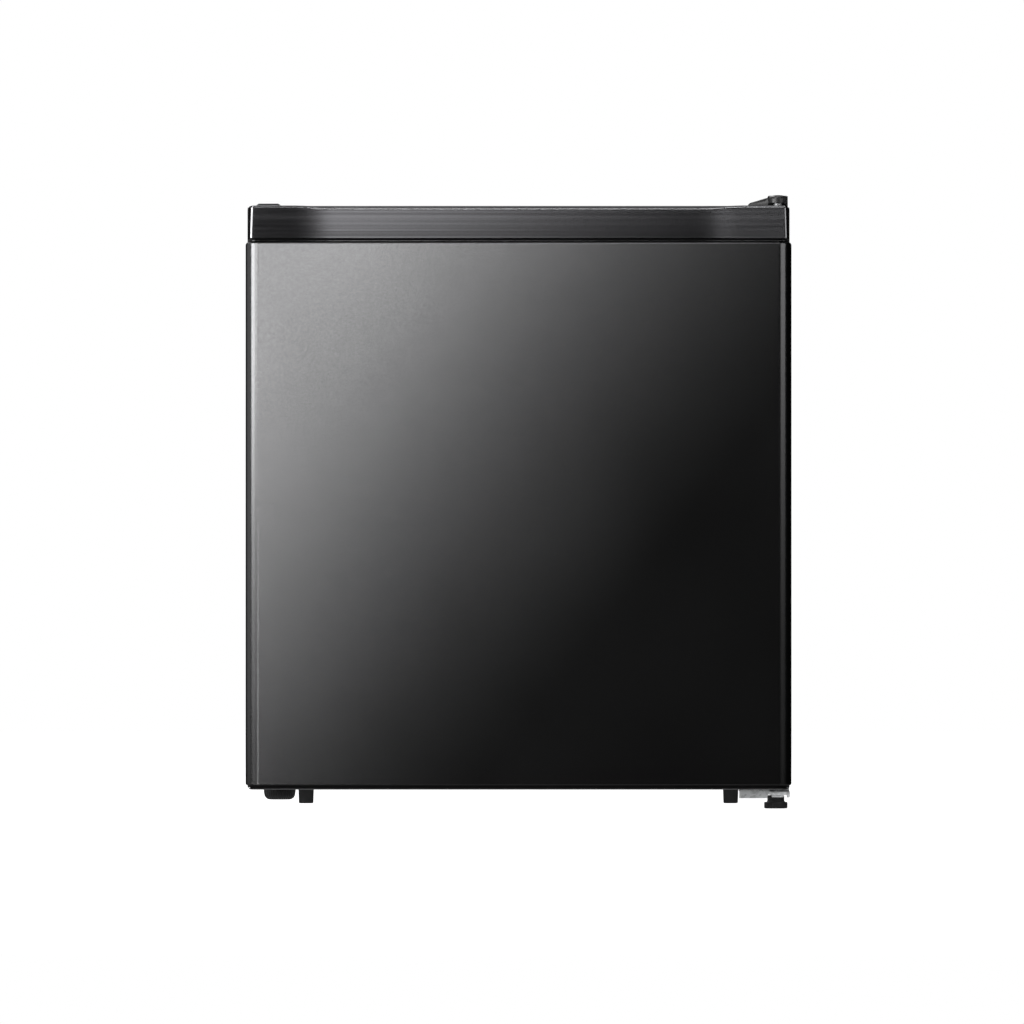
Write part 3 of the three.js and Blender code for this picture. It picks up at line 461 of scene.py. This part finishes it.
def make_world():
    """White to the camera and almost dark as a light, with a glow from below for the views from the side."""
    dark, glowing, glow_starts, glow_is_full = 0.005, 0.22, -0.2, -0.45
    world = bpy.data.worlds.new("studio")
    world.use_nodes = True
    nodes, links = world.node_tree.nodes, world.node_tree.links
    background = nodes["Background"]
    background.inputs["Color"].default_value = (1, 1, 1, 1)
    rays = nodes.new("ShaderNodeLightPath")
    direction = nodes.new("ShaderNodeTexCoord")
    upright = nodes.new("ShaderNodeSeparateXYZ")
    links.new(direction.outputs["Generated"], upright.inputs["Vector"])
    glow = nodes.new("ShaderNodeMapRange")
    glow.inputs["From Min"].default_value = glow_starts
    glow.inputs["From Max"].default_value = glow_is_full
    glow.inputs["To Min"].default_value = dark
    glow.inputs["To Max"].default_value = glowing
    links.new(upright.outputs["Z"], glow.inputs["Value"])
    strength = nodes.new("ShaderNodeMapRange")
    links.new(glow.outputs["Result"], strength.inputs["To Min"])
    strength.inputs["To Max"].default_value = 1.0
    links.new(rays.outputs["Is Camera Ray"], strength.inputs["Value"])
    links.new(strength.outputs["Result"], background.inputs["Strength"])
    bpy.context.scene.world = world


def make_floor():
    """A pale round floor that fades into the surroundings and isn't mirrored in the object."""
    radius, segments = 6.0, 96
    floor_finish = Finish("pale_floor", (0.5, 0.5, 0.5), 0.85, Emission_Strength=0.99)
    floor_finish.shader.inputs["Emission Color"].default_value = (1, 1, 1, 1)
    floor_finish.vary_colour(floor_finish.noise(size=3, detail=4), 0.99, 1.01)
    angles = [TAU * i / segments for i in range(segments)]
    rim = [(radius * math.cos(angle), radius * math.sin(angle), 0) for angle in angles]
    floor = new_object("floor", rim, [tuple(range(segments))])
    floor.data.materials.append(floor_finish.material)
    floor.visible_glossy = False


def make_lights():
    """A broad card almost edge-on shades the door's face; two cards at the left front and one at the right
    are mirrored in the door's edges and its cap; the rest light the top, the side and the back."""
    area_light("face_card", (-0.311, -3.227, 0.407), (-1.092, -3.076, 1.013), (2.06, 1.84), 58)
    area_light("left_outer", (-1.965, -1.572, 0.68), (-0.22, -0.233, 0.68), (1.14, 0.76), 18)
    area_light("left_inner", (-1.115, -2.243, 0.68), (-0.22, -0.233, 0.68), (1.26, 0.76), 13)
    area_light("far_left", (-2.0, 0.1, 0.7), (0, 0.0, 0.5), (1.6, 1.4), 2.8)
    area_light("right_side", (1.763, -2.07, 0.80), (0.22, -0.233, 0.80), (1.84, 0.85), 6.2)
    area_light("front_top", (-0.5, -1.7, 2.3), (0, -0.1, 0.4), (1.6, 0.7), 16)
    area_light("top", (0, 0.3, 3.2), (0, 0.1, 0), (2.4, 1.4), 30)
    area_light("back", (-0.7, 2.3, 2.3), (0, 0.2, 0.25), (1.2, 0.9), 16)


# ---------------------------------------------------------------- door
def panel_sheet():
    """The door's steel: flat front, generously rounded upright edges, and returns across the back."""
    low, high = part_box("door_skin")
    half, front, back = high.x, low.y, high.y
    bottom, top = low.z + 0.0020, high.z - 0.0013
    radius, turn_in, hem, thickness = 0.0105, 0.015, 0.0006, 0.0006
    lower_corner, upper_corner, beside = 0.0012, 0.0014, 0.0003
    middle_y = (front + back) / 2
    # in plan: the return and the fold at the back, the side wall, the rounded upright edge, the flat front
    right = [(half - turn_in, back), (half - turn_in + 0.001, back), (half - 0.0012, back)]
    right += [(half - 0.0004, back - 0.0002), (half, back - 0.001), (half, back - 0.0016)]
    right += [(half, back + (front + radius - back) * i / 4) for i in range(1, 4)]
    right += [(half, front + radius + beside)]
    for angle in quarter(16):
        right.append((half - radius + radius * math.cos(angle), front + radius - radius * math.sin(angle)))
    flat_half = half - radius - beside
    flat = [(flat_half * (1 - 2 * i / 40), front) for i in range(41)]
    plan = right + flat + [(-x, y) for x, y in reversed(right)]

    def lower_edge(x):
        """The lower edge rises round the corner as seen from the front."""
        over = max(abs(x) - (half - lower_corner), 0)
        return bottom + lower_corner - math.sqrt(max(lower_corner**2 - over**2, 0))

    def upper_edge(x):
        """The upper edge falls round the corner in the same way."""
        over = max(abs(x) - (half - upper_corner), 0)
        return top - upper_corner + math.sqrt(max(upper_corner**2 - over**2, 0))

    def inward(x, y):
        """The way towards the middle of the sheet's wall, in plan."""
        if y > back - 0.0005:
            return 0.0, -1.0
        if abs(x) > half - radius and y < front + radius:
            away = Vector((abs(x) - (half - radius), y - (front + radius))).normalized()
            return -away.x * math.copysign(1, x), -away.y
        return (0.0, 1.0) if y < middle_y and abs(x) < half - radius else (-math.copysign(1, x), 0.0)

    def ring(height, inset):
        """The plan's outline at a height that depends on x, moved into the wall."""
        moved = []
        for x, y in plan:
            dx, dy = inward(x, y)
            moved.append((x + dx * inset, y + dy * inset, height(x)))
        return moved

    def wall_low(x):
        """Where the flat of the sheet starts, above the hem of the lower edge."""
        return lower_edge(x) + hem + beside

    def wall_high(x):
        """Where it ends, below the hem of the upper edge."""
        return upper_edge(x) - hem - beside

    rings = []
    for angle in quarter(5):
        raised, inset = hem * (1 - math.cos(angle)), hem * (1 - math.sin(angle))
        rings.append(ring(lambda x, r=raised: lower_edge(x) + r, inset))
    rows = 30
    for row in range(rows + 1):
        rings.append(ring(lambda x, t=row / rows: wall_low(x) * (1 - t) + wall_high(x) * t, 0))
    for angle in reversed(quarter(5)):
        lowered, inset = hem * (1 - math.cos(angle)), hem * (1 - math.sin(angle))
        rings.append(ring(lambda x, r=lowered: upper_edge(x) - r, inset))
    panel = loft("door_panel", rings, closed=False, smooth_angle=60)
    wall = panel.modifiers.new("sheet", "SOLIDIFY")
    wall.thickness = thickness
    wall.offset = -1
    normals = panel.modifiers.new("normals", "WEIGHTED_NORMAL")
    normals.weight = 90
    dress(panel, FINISH["dark_steel"], "door", "black_steel", "door_skin")


class CapShape:
    """The end cap's outline. Its front wall is dished: it stands back and is lower between its two ends."""

    tall, edge = 0.0271, 0.0021  # the cap's height over the groove, and the round of its top edge
    dip, dip_start, dip_end = 0.0014, 0.150, 0.184  # how much lower the front wall is, and where that changes
    turn, turn_start, turn_end = math.radians(6.4), 0.143, 0.188  # how far the wall's two ends turn outwards
    taper, corner, draft, wall_depth = 0.0008, 0.0028, 0.0016, 0.012
    pocket_half, pocket_front, pocket_back = 0.178, 0.0082, 0.009
    samples = 60

    def __init__(self):
        self.low, self.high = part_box("door_top_cap")
        self.base, self.top = self.high.z - self.tall, self.high.z - 0.0002
        self.half, self.front, self.back = self.high.x, self.low.y, self.high.y
        self.front_wall = self.front + self.wall_depth
        step = self.half / self.samples
        self.dish = [0.0]
        for i in range(self.samples):
            turned = self.turn * smooth_step(step * (i + 0.5), self.turn_start, self.turn_end)
            self.dish.append(self.dish[-1] + math.tan(turned) * step)

    def lowered(self, x, y):
        """1 on the front wall between the two ends, 0 at the ends and behind."""
        return (1 - smooth_step(abs(x), self.dip_start, self.dip_end)) if y < self.front_wall else 0

    def set_back(self, x, y):
        """How far the front wall stands back from its outer ends."""
        if y > self.front_wall:
            return 0
        place = min(abs(x) / self.half, 1) * self.samples
        i = min(int(place), self.samples - 1)
        return self.dish[-1] - (self.dish[i] + (self.dish[i + 1] - self.dish[i]) * (place - i))

    def shaped(self, loop, share=0):
        """Gives a loop the dish and the draft; share is its height between the cap's base and top."""
        moved = []
        for x, y, z in loop:
            narrow = 1 - self.draft / self.half * (1 - smooth_step(y, self.front, self.back))
            moved.append((x * narrow, y + self.set_back(x, y), z - self.dip * self.lowered(x, y) * share))
        return moved

    def outer(self, z, inset=0.0):
        """A loop of the cap's outside, which tapers upwards."""
        share = (z - self.base) / (self.top - self.base)
        side = self.half - self.taper * share - inset
        radii = (self.corner, self.corner, 0.001, 0.001)
        loop = rounded_loop(-side, side, self.front + inset, self.back - inset, radii, z, 120, 10, 8)
        return self.shaped(loop, share)

    def pocket(self, z, inset=0.0, radius=0.006):
        """A loop of the finger pocket."""
        side = self.pocket_half - inset
        front, back = self.front + self.pocket_front + inset, self.back - self.pocket_back - inset
        share = min(max((z - self.base) / (self.top - self.base), 0), 1)
        return self.shaped(rounded_loop(-side, side, front, back, radius, z, 120, 10, 8), share)

    def collar(self, inset, z, rear_inset=0.0016):
        """A loop that stands in from the cap's outline."""
        side, front, back = self.half - inset, self.front + inset, self.back - rear_inset
        return self.shaped(rounded_loop(-side, side, front, back, 0.004, z, 120, 10, 8))


def end_cap(shape):
    """The brushed cap with its finger pocket; its front corners and the edge along its top are brighter
    polished metal, partly a polished edge and partly a painted highlight where they face the light.
    """
    base, top, edge = shape.base, shape.top, shape.edge
    pocket_floor, lip, root, under, hem = top - 0.0222, 0.0009, 0.004, 0.0026, 0.0005
    rings = [shape.collar(under, base, 0.0015)]
    for angle in quarter(4):
        rings.append(shape.outer(base + hem * (1 - math.cos(angle)), hem * (1 - math.sin(angle))))
    wall_low, wall_high = base + 0.0007, top - edge - 0.0002
    rings += [shape.outer(wall_low + (wall_high - wall_low) * i / 6) for i in range(7)]
    for angle in quarter(8):
        rings.append(shape.outer(top - edge + edge * math.sin(angle), edge * (1 - math.cos(angle))))
    rings.append(shape.pocket(top, -lip - 0.0002))
    for angle in quarter(4):
        rings.append(shape.pocket(top - lip * (1 - math.cos(angle)), -lip * (1 - math.sin(angle))))
    rings += [shape.pocket(top - lip - 0.0004), shape.pocket(pocket_floor + root + 0.0004)]
    for i, angle in enumerate(quarter(5)):
        height, inset = root * (1 - math.sin(angle)), root * (1 - math.cos(angle))
        rings.append(shape.pocket(pocket_floor + height, inset, 0.006 - 0.12 * root * i))
    cap = loft("end_cap", rings, smooth_angle=50)
    normals = cap.modifiers.new("normals", "WEIGHTED_NORMAL")
    normals.keep_sharp = True
    dress(cap, FINISH["hairline_cap"], "door", "brushed_cap", "door_top_cap")
    # the brighter metal of the front corners and the top edge is partly a painted highlight
    cap.data.materials.append(FINISH["polished_edge_and_highlight"])
    # faces picked by which way they face take the brighter metal: a painted highlight along the corners and
    # the top edge
    for face in cap.data.polygons:
        sideways, forwards = max(abs(face.normal.x), 1e-6), -face.normal.y
        upright = abs(face.center.x) > shape.half - 0.006 and 1.7 < forwards / sideways < 6
        along_top = face.center.z > top - edge - shape.dip - 0.0002 and 0.1 < face.normal.z < 0.42
        if face.center.y < shape.front + 0.009 and forwards > 0.4 and (upright or along_top):
            face.material_index = 1


def cap_neck(shape):
    """The black neck in the groove under the cap, and the sloped seat that it stands on, both in a near-black
    finish that paints the groove's shade.
    """
    neck = loft("cap_neck", [shape.collar(0.0052, shape.low.z), shape.collar(0.0052, shape.base + 0.0002)])
    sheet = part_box("door_skin")[1]
    rings = []
    for inset, z in ((0.0008, sheet.z - 0.0022), (0.0008, sheet.z - 0.0012), (0.0045, shape.low.z + 0.0001)):
        side, front, back = sheet.x - inset, shape.front + inset, shape.back - 0.0016
        radii = (0.0105 - inset, 0.0105 - inset, 0.001, 0.001)
        rings.append(rounded_loop(-side, side, front, back, radii, z, 60, 10, 12))
    neck = join("cap_neck", [neck, loft("cap_seat", rings)])
    # the near-black finish paints the shade in the groove
    dress(neck, FINISH["painted_shade_black"], "door", "black_plastic", "door_top_cap")


def cap_bead(shape):
    """The thin steel bead in the groove, just under the cap."""
    low, high, deep, chamfer = shape.base - 0.0020, shape.base - 0.0014, 0.0055, 0.0002
    profile = [(deep, low), (0.0014, low), (0.0011, low + chamfer)]
    profile += [(0.0011, high - chamfer), (0.0014, high), (deep, high)]
    bead = loft("cap_bead", [shape.collar(inset, z) for inset, z in profile])
    dress(bead, FINISH["dark_steel"], "door", "black_steel", "door_top_cap")


def bottom_cap():
    """The black cap under the door: a rim rounded up into the corners, whose forward faces are a lighter
    satin plastic as a painted highlight, and a plug set in above it in a near-black finish that paints the
    shade in the gap.
    """
    low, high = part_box("door_bottom_cap")
    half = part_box("door_skin")[1].x
    front, back = low.y, high.y
    corner, rim_top, radii = 0.005, 0.0168, (0.009, 0.009, 0.002, 0.002)
    plug_side, plug_front, plug_back, plug_corner = 0.0019, 0.003, 0.0016, 0.9

    def corner_inset(z):
        """How far the rounded lower corner stands in from the side."""
        rise = max(corner - (z - low.z), 0)
        return corner - math.sqrt(corner**2 - rise**2)

    rings = []
    rim = [(low.z + 0.0001, 0.0003), (low.z + 0.0002, 0.0001), (low.z + 0.0003, 0.0), (rim_top, 0.0)]
    for z, inset in rim:
        side = half - corner_inset(z) - inset * 0.5
        rings.append(rounded_loop(-side, side, front + inset, back - inset, radii, z, 40, 8))
    for z in (rim_top, 0.0205, 0.0235, high.z):
        side = half - plug_side - corner_inset(z) * plug_corner
        rings.append(rounded_loop(-side, side, front + plug_front, back - plug_back, radii, z, 40, 8))
    cap = loft("bottom_cap", rings)
    dress(cap, FINISH["black_plastic"], "door", "black_plastic", "door_bottom_cap")
    cap.data.materials.append(FINISH["painted_highlight_satin"])
    cap.data.materials.append(FINISH["painted_shade_black"])
    # the plug takes the near-black finish, painted shade in the gap; the rim's forward faces take the lighter
    # satin, a painted highlight
    for face in cap.data.polygons:
        if face.center.z > rim_top - 1e-5:
            face.material_index = 2
        elif face.normal.y < -0.7:
            face.material_index = 1


def gasket():
    """A magnetic seal: a flat magnet pocket against the frame, a bellows, and a foot in the door."""
    low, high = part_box("door_gasket")
    depth, width, corner = high.y - low.y, 0.016, 0.009
    section = [  # share of the width from the outside in, share of the depth from the door out
        (0.16, 0.0), (0.16, 0.16), (0.02, 0.24), (0.0, 0.34), (0.12, 0.44), (0.12, 0.52), (0.0, 0.62),
        (0.0, 0.9), (0.06, 1.0), (0.55, 1.0), (0.62, 0.94), (0.62, 0.64), (0.54, 0.56), (0.66, 0.48),
        (0.98, 0.42), (1.0, 0.3), (0.84, 0.2), (0.8, 0.0),
    ]
    rings = []
    for share, out in section + section[:1]:
        inset = share * width
        x0, x1, z0, z1 = low.x + inset, high.x - inset, low.z + inset, high.z - inset
        loop = rounded_loop(x0, x1, z0, z1, corner - 0.5 * inset, 0.0, 24, 24, 6)
        rings.append([(x, low.y + out * depth, z) for x, z, _ in loop])
    seal = loft("seal", rings, capped=False, smooth_angle=50)
    dress(seal, FINISH["seal_rubber"], "door", "seal_rubber", "door_gasket")


# ---------------------------------------------------------------- feet
def stud_profile(start, end, turns, groove_height):
    """Half the outline of a foot's grooved stud, from the foot up to the stud's end."""
    radius, groove, chamfer = 0.004, 0.0005, 0.0008
    points = []
    for i in range(turns):
        z = start + 0.0006 + (end - 0.001 - start) * i / turns
        points += [(radius, z), (radius - groove, z + groove_height)]
    return points + [(radius - chamfer, end), (0.0, end)]


def knurled_foot():
    """The left front foot: a disc with a rounded underside, ridged round its rim."""
    low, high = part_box("front_foot_left")
    radius, top, round_edge = (high.x - low.x) / 2, low.z + 0.0091, 0.0048
    profile = [(0.0, low.z), (radius - 0.0052, low.z)]
    profile += fillet((radius - 0.0052, low.z + round_edge), round_edge, -80, -8, 8)
    profile += [(radius - 0.0001, low.z + 0.0062), (radius, top - 0.0006)]
    profile += [(radius - 0.0005, top), (0.0042, top)]
    profile += stud_profile(top, high.z, 9, 0.0011)
    ridges, depth, ridged = 36, 0.0005, range(3, 13)

    def ridge(angle, r, i):
        """Only the points of the profile that make up the rim are ridged."""
        return r - depth * (0.5 + 0.5 * math.cos(ridges * angle)) if i in ridged else r

    foot = lathe("knurled_foot", profile, plan_centre("front_foot_left"), 216, ridge, 30)
    dress(foot, FINISH["black_plastic"], "front_foot_left", "black_plastic", "front_foot_left")


def hinge_foot():
    """The right front foot: a wide flange under a narrower neck."""
    low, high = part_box("front_foot_right")
    flange, neck, root, top = (high.x - low.x) / 2, 0.0069, 0.0012, low.z + 0.0108
    profile = [(0.0, low.z), (flange - 0.0014, low.z)]
    profile += fillet((flange - 0.0012, low.z + 0.0012), 0.0012, -80, 0, 4)
    profile += fillet((flange - 0.0008, low.z + 0.0045), 0.0008, 0, 85, 4)
    profile += [(neck + root, low.z + 0.0053)]
    for angle in (0.5, 1.0, 1.5):
        profile.append((neck + root * (1 - math.sin(angle)), low.z + 0.0065 - root * math.cos(angle)))
    profile += [(neck, top - 0.0004), (neck - 0.0005, top), (0.0042, top)]
    profile += stud_profile(top, high.z, 10, 0.0012)
    foot = lathe("hinge_foot", profile, plan_centre("front_foot_right"), 64)
    dress(foot, FINISH["black_plastic"], "front_foot_right", "black_plastic", "front_foot_right")


def peg_feet():
    """The two rear feet: plain pegs that widen to a collar against the base."""
    for side in ("left", "right"):
        node = "rear_foot_" + side
        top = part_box(node)[1].z
        profile = [(0.0, 0.0), (0.0046, 0.0)] + fillet((0.0049, 0.0011), 0.0011, -80, -5, 5)
        profile += [(0.0064, 0.0128), (0.0068, 0.0138), (0.0078, 0.0143), (0.0096, 0.0144), (0.01, 0.0148)]
        profile += [(0.01, top), (0.0, top)]
        foot = lathe("peg_foot_" + side, profile, plan_centre(node))
        dress(foot, FINISH["black_plastic"], "cabinet", "black_plastic", node)


# ---------------------------------------------------------------- hinge parts
def hinge_hood():
    """The hood: a body whose front leans back, a neck, and a round boss with a domed top above the pin."""
    low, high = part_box("top_hinge_cover")
    pin_x, pin_y = plan_centre("top_hinge_pin")
    radius, boss_base, rim = pin_y - low.y, 0.4909, 0.4948
    front, floor, lean = pin_y + 0.027, low.z, math.tan(math.radians(20))
    step, slope, rear_height, rear_run, round_edge = 0.0022, 0.3, 0.0027, 0.026, 0.0007

    def crown(x):
        """The height of the body's upper edge from left to right."""
        if x < low.x + 0.0006:
            return floor + step
        if x < pin_x - radius:
            return floor + 0.0026 + (x - low.x) * slope
        return high.z - 0.0004 * (1 if x > high.x - 0.001 else 0)

    columns = [low.x + along for along in (0, 0.0003, 0.0007, 0.003, 0.006, 0.010, 0.013)]
    columns += [pin_x - radius - 0.0002, pin_x - radius + 0.0006, pin_x]
    columns += [high.x - along for along in (0.003, 0.0012, 0.0005, 0)]
    rings = []
    for x in columns:
        top = crown(x)
        rise, rear = top - floor, min(top, floor + rear_height)
        end = 0.0004 if x in (low.x, high.x) else 0.0
        face = front + rise * lean
        rings.append([
            (x, front + end, floor), (x, front + end + 0.3 * rise * lean, floor + 0.3 * rise),
            (x, front + end + (rise - round_edge) * lean, top - round_edge), (x, face + 0.0003, top - 0.0002),
            (x, face + 0.0009, top), (x, high.y - rear_run, top), (x, high.y - 0.001, rear),
            (x, high.y - end, rear - round_edge), (x, high.y - end, floor),
        ])
    body = loft("hood_body", rings)

    def dome(r):
        """The height of the boss's top at a distance from the pin's axis."""
        return rim + (high.z - rim) * math.sqrt(max(1 - (r / radius) ** 2.6, 0))

    shares = (0.995, 0.97, 0.92, 0.84, 0.72, 0.56, 0.38, 0.2)
    profile = [(0.0, boss_base), (radius - 0.0004, boss_base), (radius, boss_base + 0.0004), (radius, rim)]
    profile += [(radius * share, dome(radius * share)) for share in (*shares, 0)]
    boss = lathe("hood_boss", profile, (pin_x, pin_y), 64)
    across = [-1, *(-share for share in shares), 0, *reversed(shares), 1]
    section = [(radius, boss_base), (-radius, boss_base)]
    section += [(radius * share, dome(radius * abs(share))) for share in across]
    neck = loft("hood_neck", [[(pin_x + x, y, z) for x, z in section] for y in (pin_y, front + 0.006)])
    hood = join("hinge_hood", [body, boss, neck])
    dress(hood, FINISH["hood_plastic"], "cabinet", "black_plastic", "top_hinge_cover")


def hinge_bracket():
    """The bent plate under the cabinet, with a folded lip in front and a nose whose outer edge curls down."""
    low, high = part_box("lower_hinge_bracket")
    pin_x, pin_y = plan_centre("lower_hinge_pin")
    pin_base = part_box("lower_hinge_pin")[0].z
    plate_top, lip_low, end_height = high.z, low.z, 0.0005
    thickness, lip_thickness, fold, nose_reach = 0.003, 0.0026, 0.0034, 0.0431
    lip_front, lip_right, slant = low.y + nose_reach, pin_x - 0.0064, 0.0016
    bend_y, bend_z = lip_front + fold, plate_top - fold
    bend = (0, 0.39, 0.79, 1.18, 1.57)

    def arc(radius, angles):
        """The bend between the plate and its lip, seen from the side."""
        return [(bend_y - radius * math.sin(a), bend_z + radius * math.cos(a)) for a in angles]

    sheet = [(high.y, plate_top - thickness), (high.y, plate_top)] + arc(fold, bend)
    sheet += [(lip_front, lip_low + end_height), (lip_front + 0.0005, lip_low), (lip_front + 0.0021, lip_low)]
    sheet += [(lip_front + lip_thickness, lip_low + end_height)] + arc(fold - lip_thickness, bend[::-1])

    def column(x, cut):
        """One cross-section; the lip's end is cut at a slant, so its lower edge stops short."""
        points = []
        for y, z in sheet:
            depth = max(0.0, min(1.0, (bend_z - z) / (bend_z - lip_low))) if y < bend_y else 0.0
            points.append((x - cut * depth, y, z))
        return points

    columns = [low.x + 0.0004, low.x + 0.006, low.x + 0.014, lip_right - 0.004, lip_right - 0.0004]
    lip = loft("lip", [column(x, slant * (x - low.x) / (lip_right - low.x)) for x in columns])
    plate = loft("plate", [
        rounded_loop(lip_right - 0.001, high.x, lip_front + 0.006, high.y, 0.0015, z, 6, 6, 4)
        for z in (plate_top - thickness, plate_top - 0.0003, plate_top)
    ])

    nose_low, nose_high = pin_base + 0.0018, pin_base + 0.0048
    nose_x, nose_radius, nose_back, edge = pin_x + 0.0017, 0.0081, lip_front + 0.012, 0.0006
    outline = []
    for i in range(25):
        angle = math.pi * (1 + i / 24)
        outline.append((nose_x + nose_radius * math.cos(angle), pin_y + nose_radius * math.sin(angle)))
    outline += [(high.x, nose_back), (lip_right, nose_back)]

    def flat(z, inset):
        """The nose's outline, moved inwards."""
        moved = []
        for x, y in outline:
            back = inset if y < pin_y + 0.02 else -inset
            moved.append((x - math.copysign(inset, x - nose_x), y + back, z))
        return moved

    nose = loft("nose", [
        flat(nose_low, edge), flat(nose_low + edge * 0.3, edge * 0.3), flat(nose_low + edge, 0),
        flat(nose_high - edge, 0), flat(nose_high - edge * 0.3, edge * 0.3), flat(nose_high, edge),
    ])

    outer, inner = 0.0034, 0.0014
    curl_x, curl_z = high.x - outer, nose_high - outer
    curl_bend = (0.4, 0.8, 1.2, 1.57)
    section = [(curl_x + outer * math.sin(a), curl_z + outer * math.cos(a)) for a in curl_bend]
    section += [(high.x, lip_low + 0.0014), (high.x - 0.002, lip_low + 0.0011)]
    section += [(curl_x + inner * math.sin(a), curl_z + inner * math.cos(a)) for a in curl_bend[::-1]]
    along = (pin_y - 0.001, pin_y + 0.004, pin_y + 0.02, lip_front + 0.004)
    curl = loft("curl", [[(x, y, z) for x, z in section] for y in along])
    bracket = join("hinge_bracket", [lip, plate, nose, curl])
    dress(bracket, FINISH["zinc_steel"], "cabinet", "zinc_steel", "lower_hinge_bracket")


# ---------------------------------------------------------------- condenser
def condenser_grid():
    """The serpentine tube, its welded wires, a stand-off strip at each side, and the line to the drier."""
    low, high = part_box("condenser")
    y, pitch, runs, radius, sides = 0.222, 0.039, 7, 0.0025, 14
    half, bend, bottom = high.x - radius, pitch / 2, 0.208
    joint, top = -half + 0.034, bottom + (runs - 1) * pitch
    path = [(half - bend, y, top)]
    for run in range(runs - 1):
        z = top - run * pitch
        way = 1 if run % 2 else -1
        for i in range(15):
            angle = math.pi * i / 14
            path.append((way * (half - bend + bend * math.sin(angle)), y, z - bend + bend * math.cos(angle)))
    path.append((joint, y, bottom))
    parts = [sweep("tube", path, radius, sides)]

    wires, wire, wire_span, overhang = 26, 0.0007, 0.304, 0.006
    for layer in (-1, 1):
        for i in range(wires):
            x = wire_span * (i / (wires - 1) - 0.5)
            wire_y = y + layer * (radius + wire * 0.6)
            line = [(x, wire_y, bottom - overhang), (x, wire_y, top + overhang)]
            parts.append(sweep("wire", line, wire, 6))

    strip_x, strip_width, strip_end, web, sheet = 0.168, 0.014, 0.010, 0.0008, 0.0015
    foot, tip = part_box("back_panel")[1].y + 0.0003, high.y
    for side in (-1, 1):
        x, outside = side * strip_x, side * (strip_x + strip_width)
        outline = [
            (x - web * side, foot), (outside, foot), (outside, foot + sheet), (x + web * side, foot + sheet),
            (x + web * side, tip - 0.0004), (x, tip), (x - web * side, tip - 0.0004),
        ]
        ends = (bottom + strip_end, top - strip_end)
        parts.append(loft("strip", [[(px, py, z) for px, py in outline] for z in ends]))
    grid = join("condenser_grid", parts)
    dress(grid, FINISH["black_enamel"], "cabinet", "compressor_paint", "condenser")

    drier_x, drier_y = plan_centre("filter_drier")
    drier_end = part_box("filter_drier")[0].z
    drop = -half + 0.024
    outlet = [
        (joint - 0.0003, y, bottom), (joint - 0.0023, y, bottom), (drop + 0.0045, y, bottom - 0.0016),
        (drop + 0.0016, y, bottom - 0.005), (drop + 0.0003, y, bottom - 0.0105), (drop, y, bottom - 0.018),
        (drop, y, 0.150), (drop, y, 0.092), (drop + 0.002, y - 0.004, 0.074),
        (drop + 0.010, y - 0.014, 0.060),
        (drier_x - 0.016, drier_y + 0.012, 0.053), (drier_x - 0.006, drier_y + 0.0045, 0.055),
        (drier_x - 0.001, drier_y + 0.0008, 0.061), (drier_x, drier_y, drier_end - 0.004),
        (drier_x, drier_y, drier_end - 0.0003),
    ]
    liquid = sweep("liquid_line", smooth_path(outlet, 5), radius, sides)
    dress(liquid, FINISH["copper"], "cabinet", "copper", "liquid_tube")


# ---------------------------------------------------------------- CAD nodes that keep their shape
def finish_nodes():
    """Softened edges and a material for every node that isn't replaced: name, finish, edge radius in mm."""
    kept = [
        ("side_panel_left", "cabinet_paint", 0.4),
        ("side_panel_right", "cabinet_paint", 0.4),
        ("top_panel", "cabinet_paint", 0.4),
        ("back_panel", "cabinet_paint", 0.3),
        ("front_frame", "cabinet_paint", 0.3),
        ("base_plate", "zinc_steel", 0.3),
        ("insulation", "foam", 0),
        ("door_foam", "foam", 0),
        ("inner_liner", "liner_white", 0.6),
        ("door_liner", "liner_white", 0.8),
        ("door_bush_top", "black_plastic", 0.2),
        ("door_bush_bottom", "black_plastic", 0.2),
        ("door_rack_lower", "clear_plastic", 0.5),
        ("door_rack_upper", "clear_plastic", 0.5),
        ("top_hinge_plate", "zinc_steel", 0.3),
        ("top_hinge_pin", "zinc_steel", 0.2),
        ("top_hinge_screw_1", "zinc_steel", 0.2),
        ("top_hinge_screw_2", "zinc_steel", 0.2),
        ("spare_hole_cover", "black_plastic", 0.5),
        ("lower_hinge_pin", "zinc_steel", 0.2),
        ("lower_hinge_screw_1", "zinc_steel", 0.2),
        ("lower_hinge_screw_2", "zinc_steel", 0.2),
        ("shelf_glass", "shelf_glass", 0.6),
        ("shelf_front_trim", "white_trim", 0.5),
        ("shelf_rear_trim", "white_trim", 0.5),
        ("ice_box", "aluminium", 0.5),
        ("ice_flap", "clear_plastic", 0.6),
        ("tray_rail_left", "white_trim", 0.3),
        ("tray_rail_right", "white_trim", 0.3),
        ("drip_tray", "clear_plastic", 0.5),
        ("thermostat_housing", "white_trim", 2.0),
        ("thermostat_dial", "white_trim", 0.8),
        ("compressor", "black_enamel", 0.5),
        ("relay_cover", "black_plastic", 1.0),
        ("cord_gland", "black_plastic", 0.4),
        ("filter_drier", "copper", 0.4),
        ("capillary_tube", "copper", 0),
        ("suction_tube", "copper", 0),
        ("discharge_tube", "copper", 0),
        ("process_tube", "copper", 0),
    ]
    for number in range(1, 5):
        kept.append((f"compressor_grommet_{number}", "black_rubber", 0.4))
        kept.append((f"compressor_bolt_{number}", "zinc_steel", 0.2))
    for name, finish, edge in kept:
        finish_node(name, FINISH[finish], edge * MM)


make_camera()
make_world()
make_floor()
make_lights()
bpy.context.scene.view_settings.view_transform = "Standard"
finish_nodes()
panel_sheet()
cap_shape = CapShape()
end_cap(cap_shape)
cap_neck(cap_shape)
cap_bead(cap_shape)
bottom_cap()
gasket()
knurled_foot()
hinge_foot()
peg_feet()
hinge_hood()
hinge_bracket()
condenser_grid()
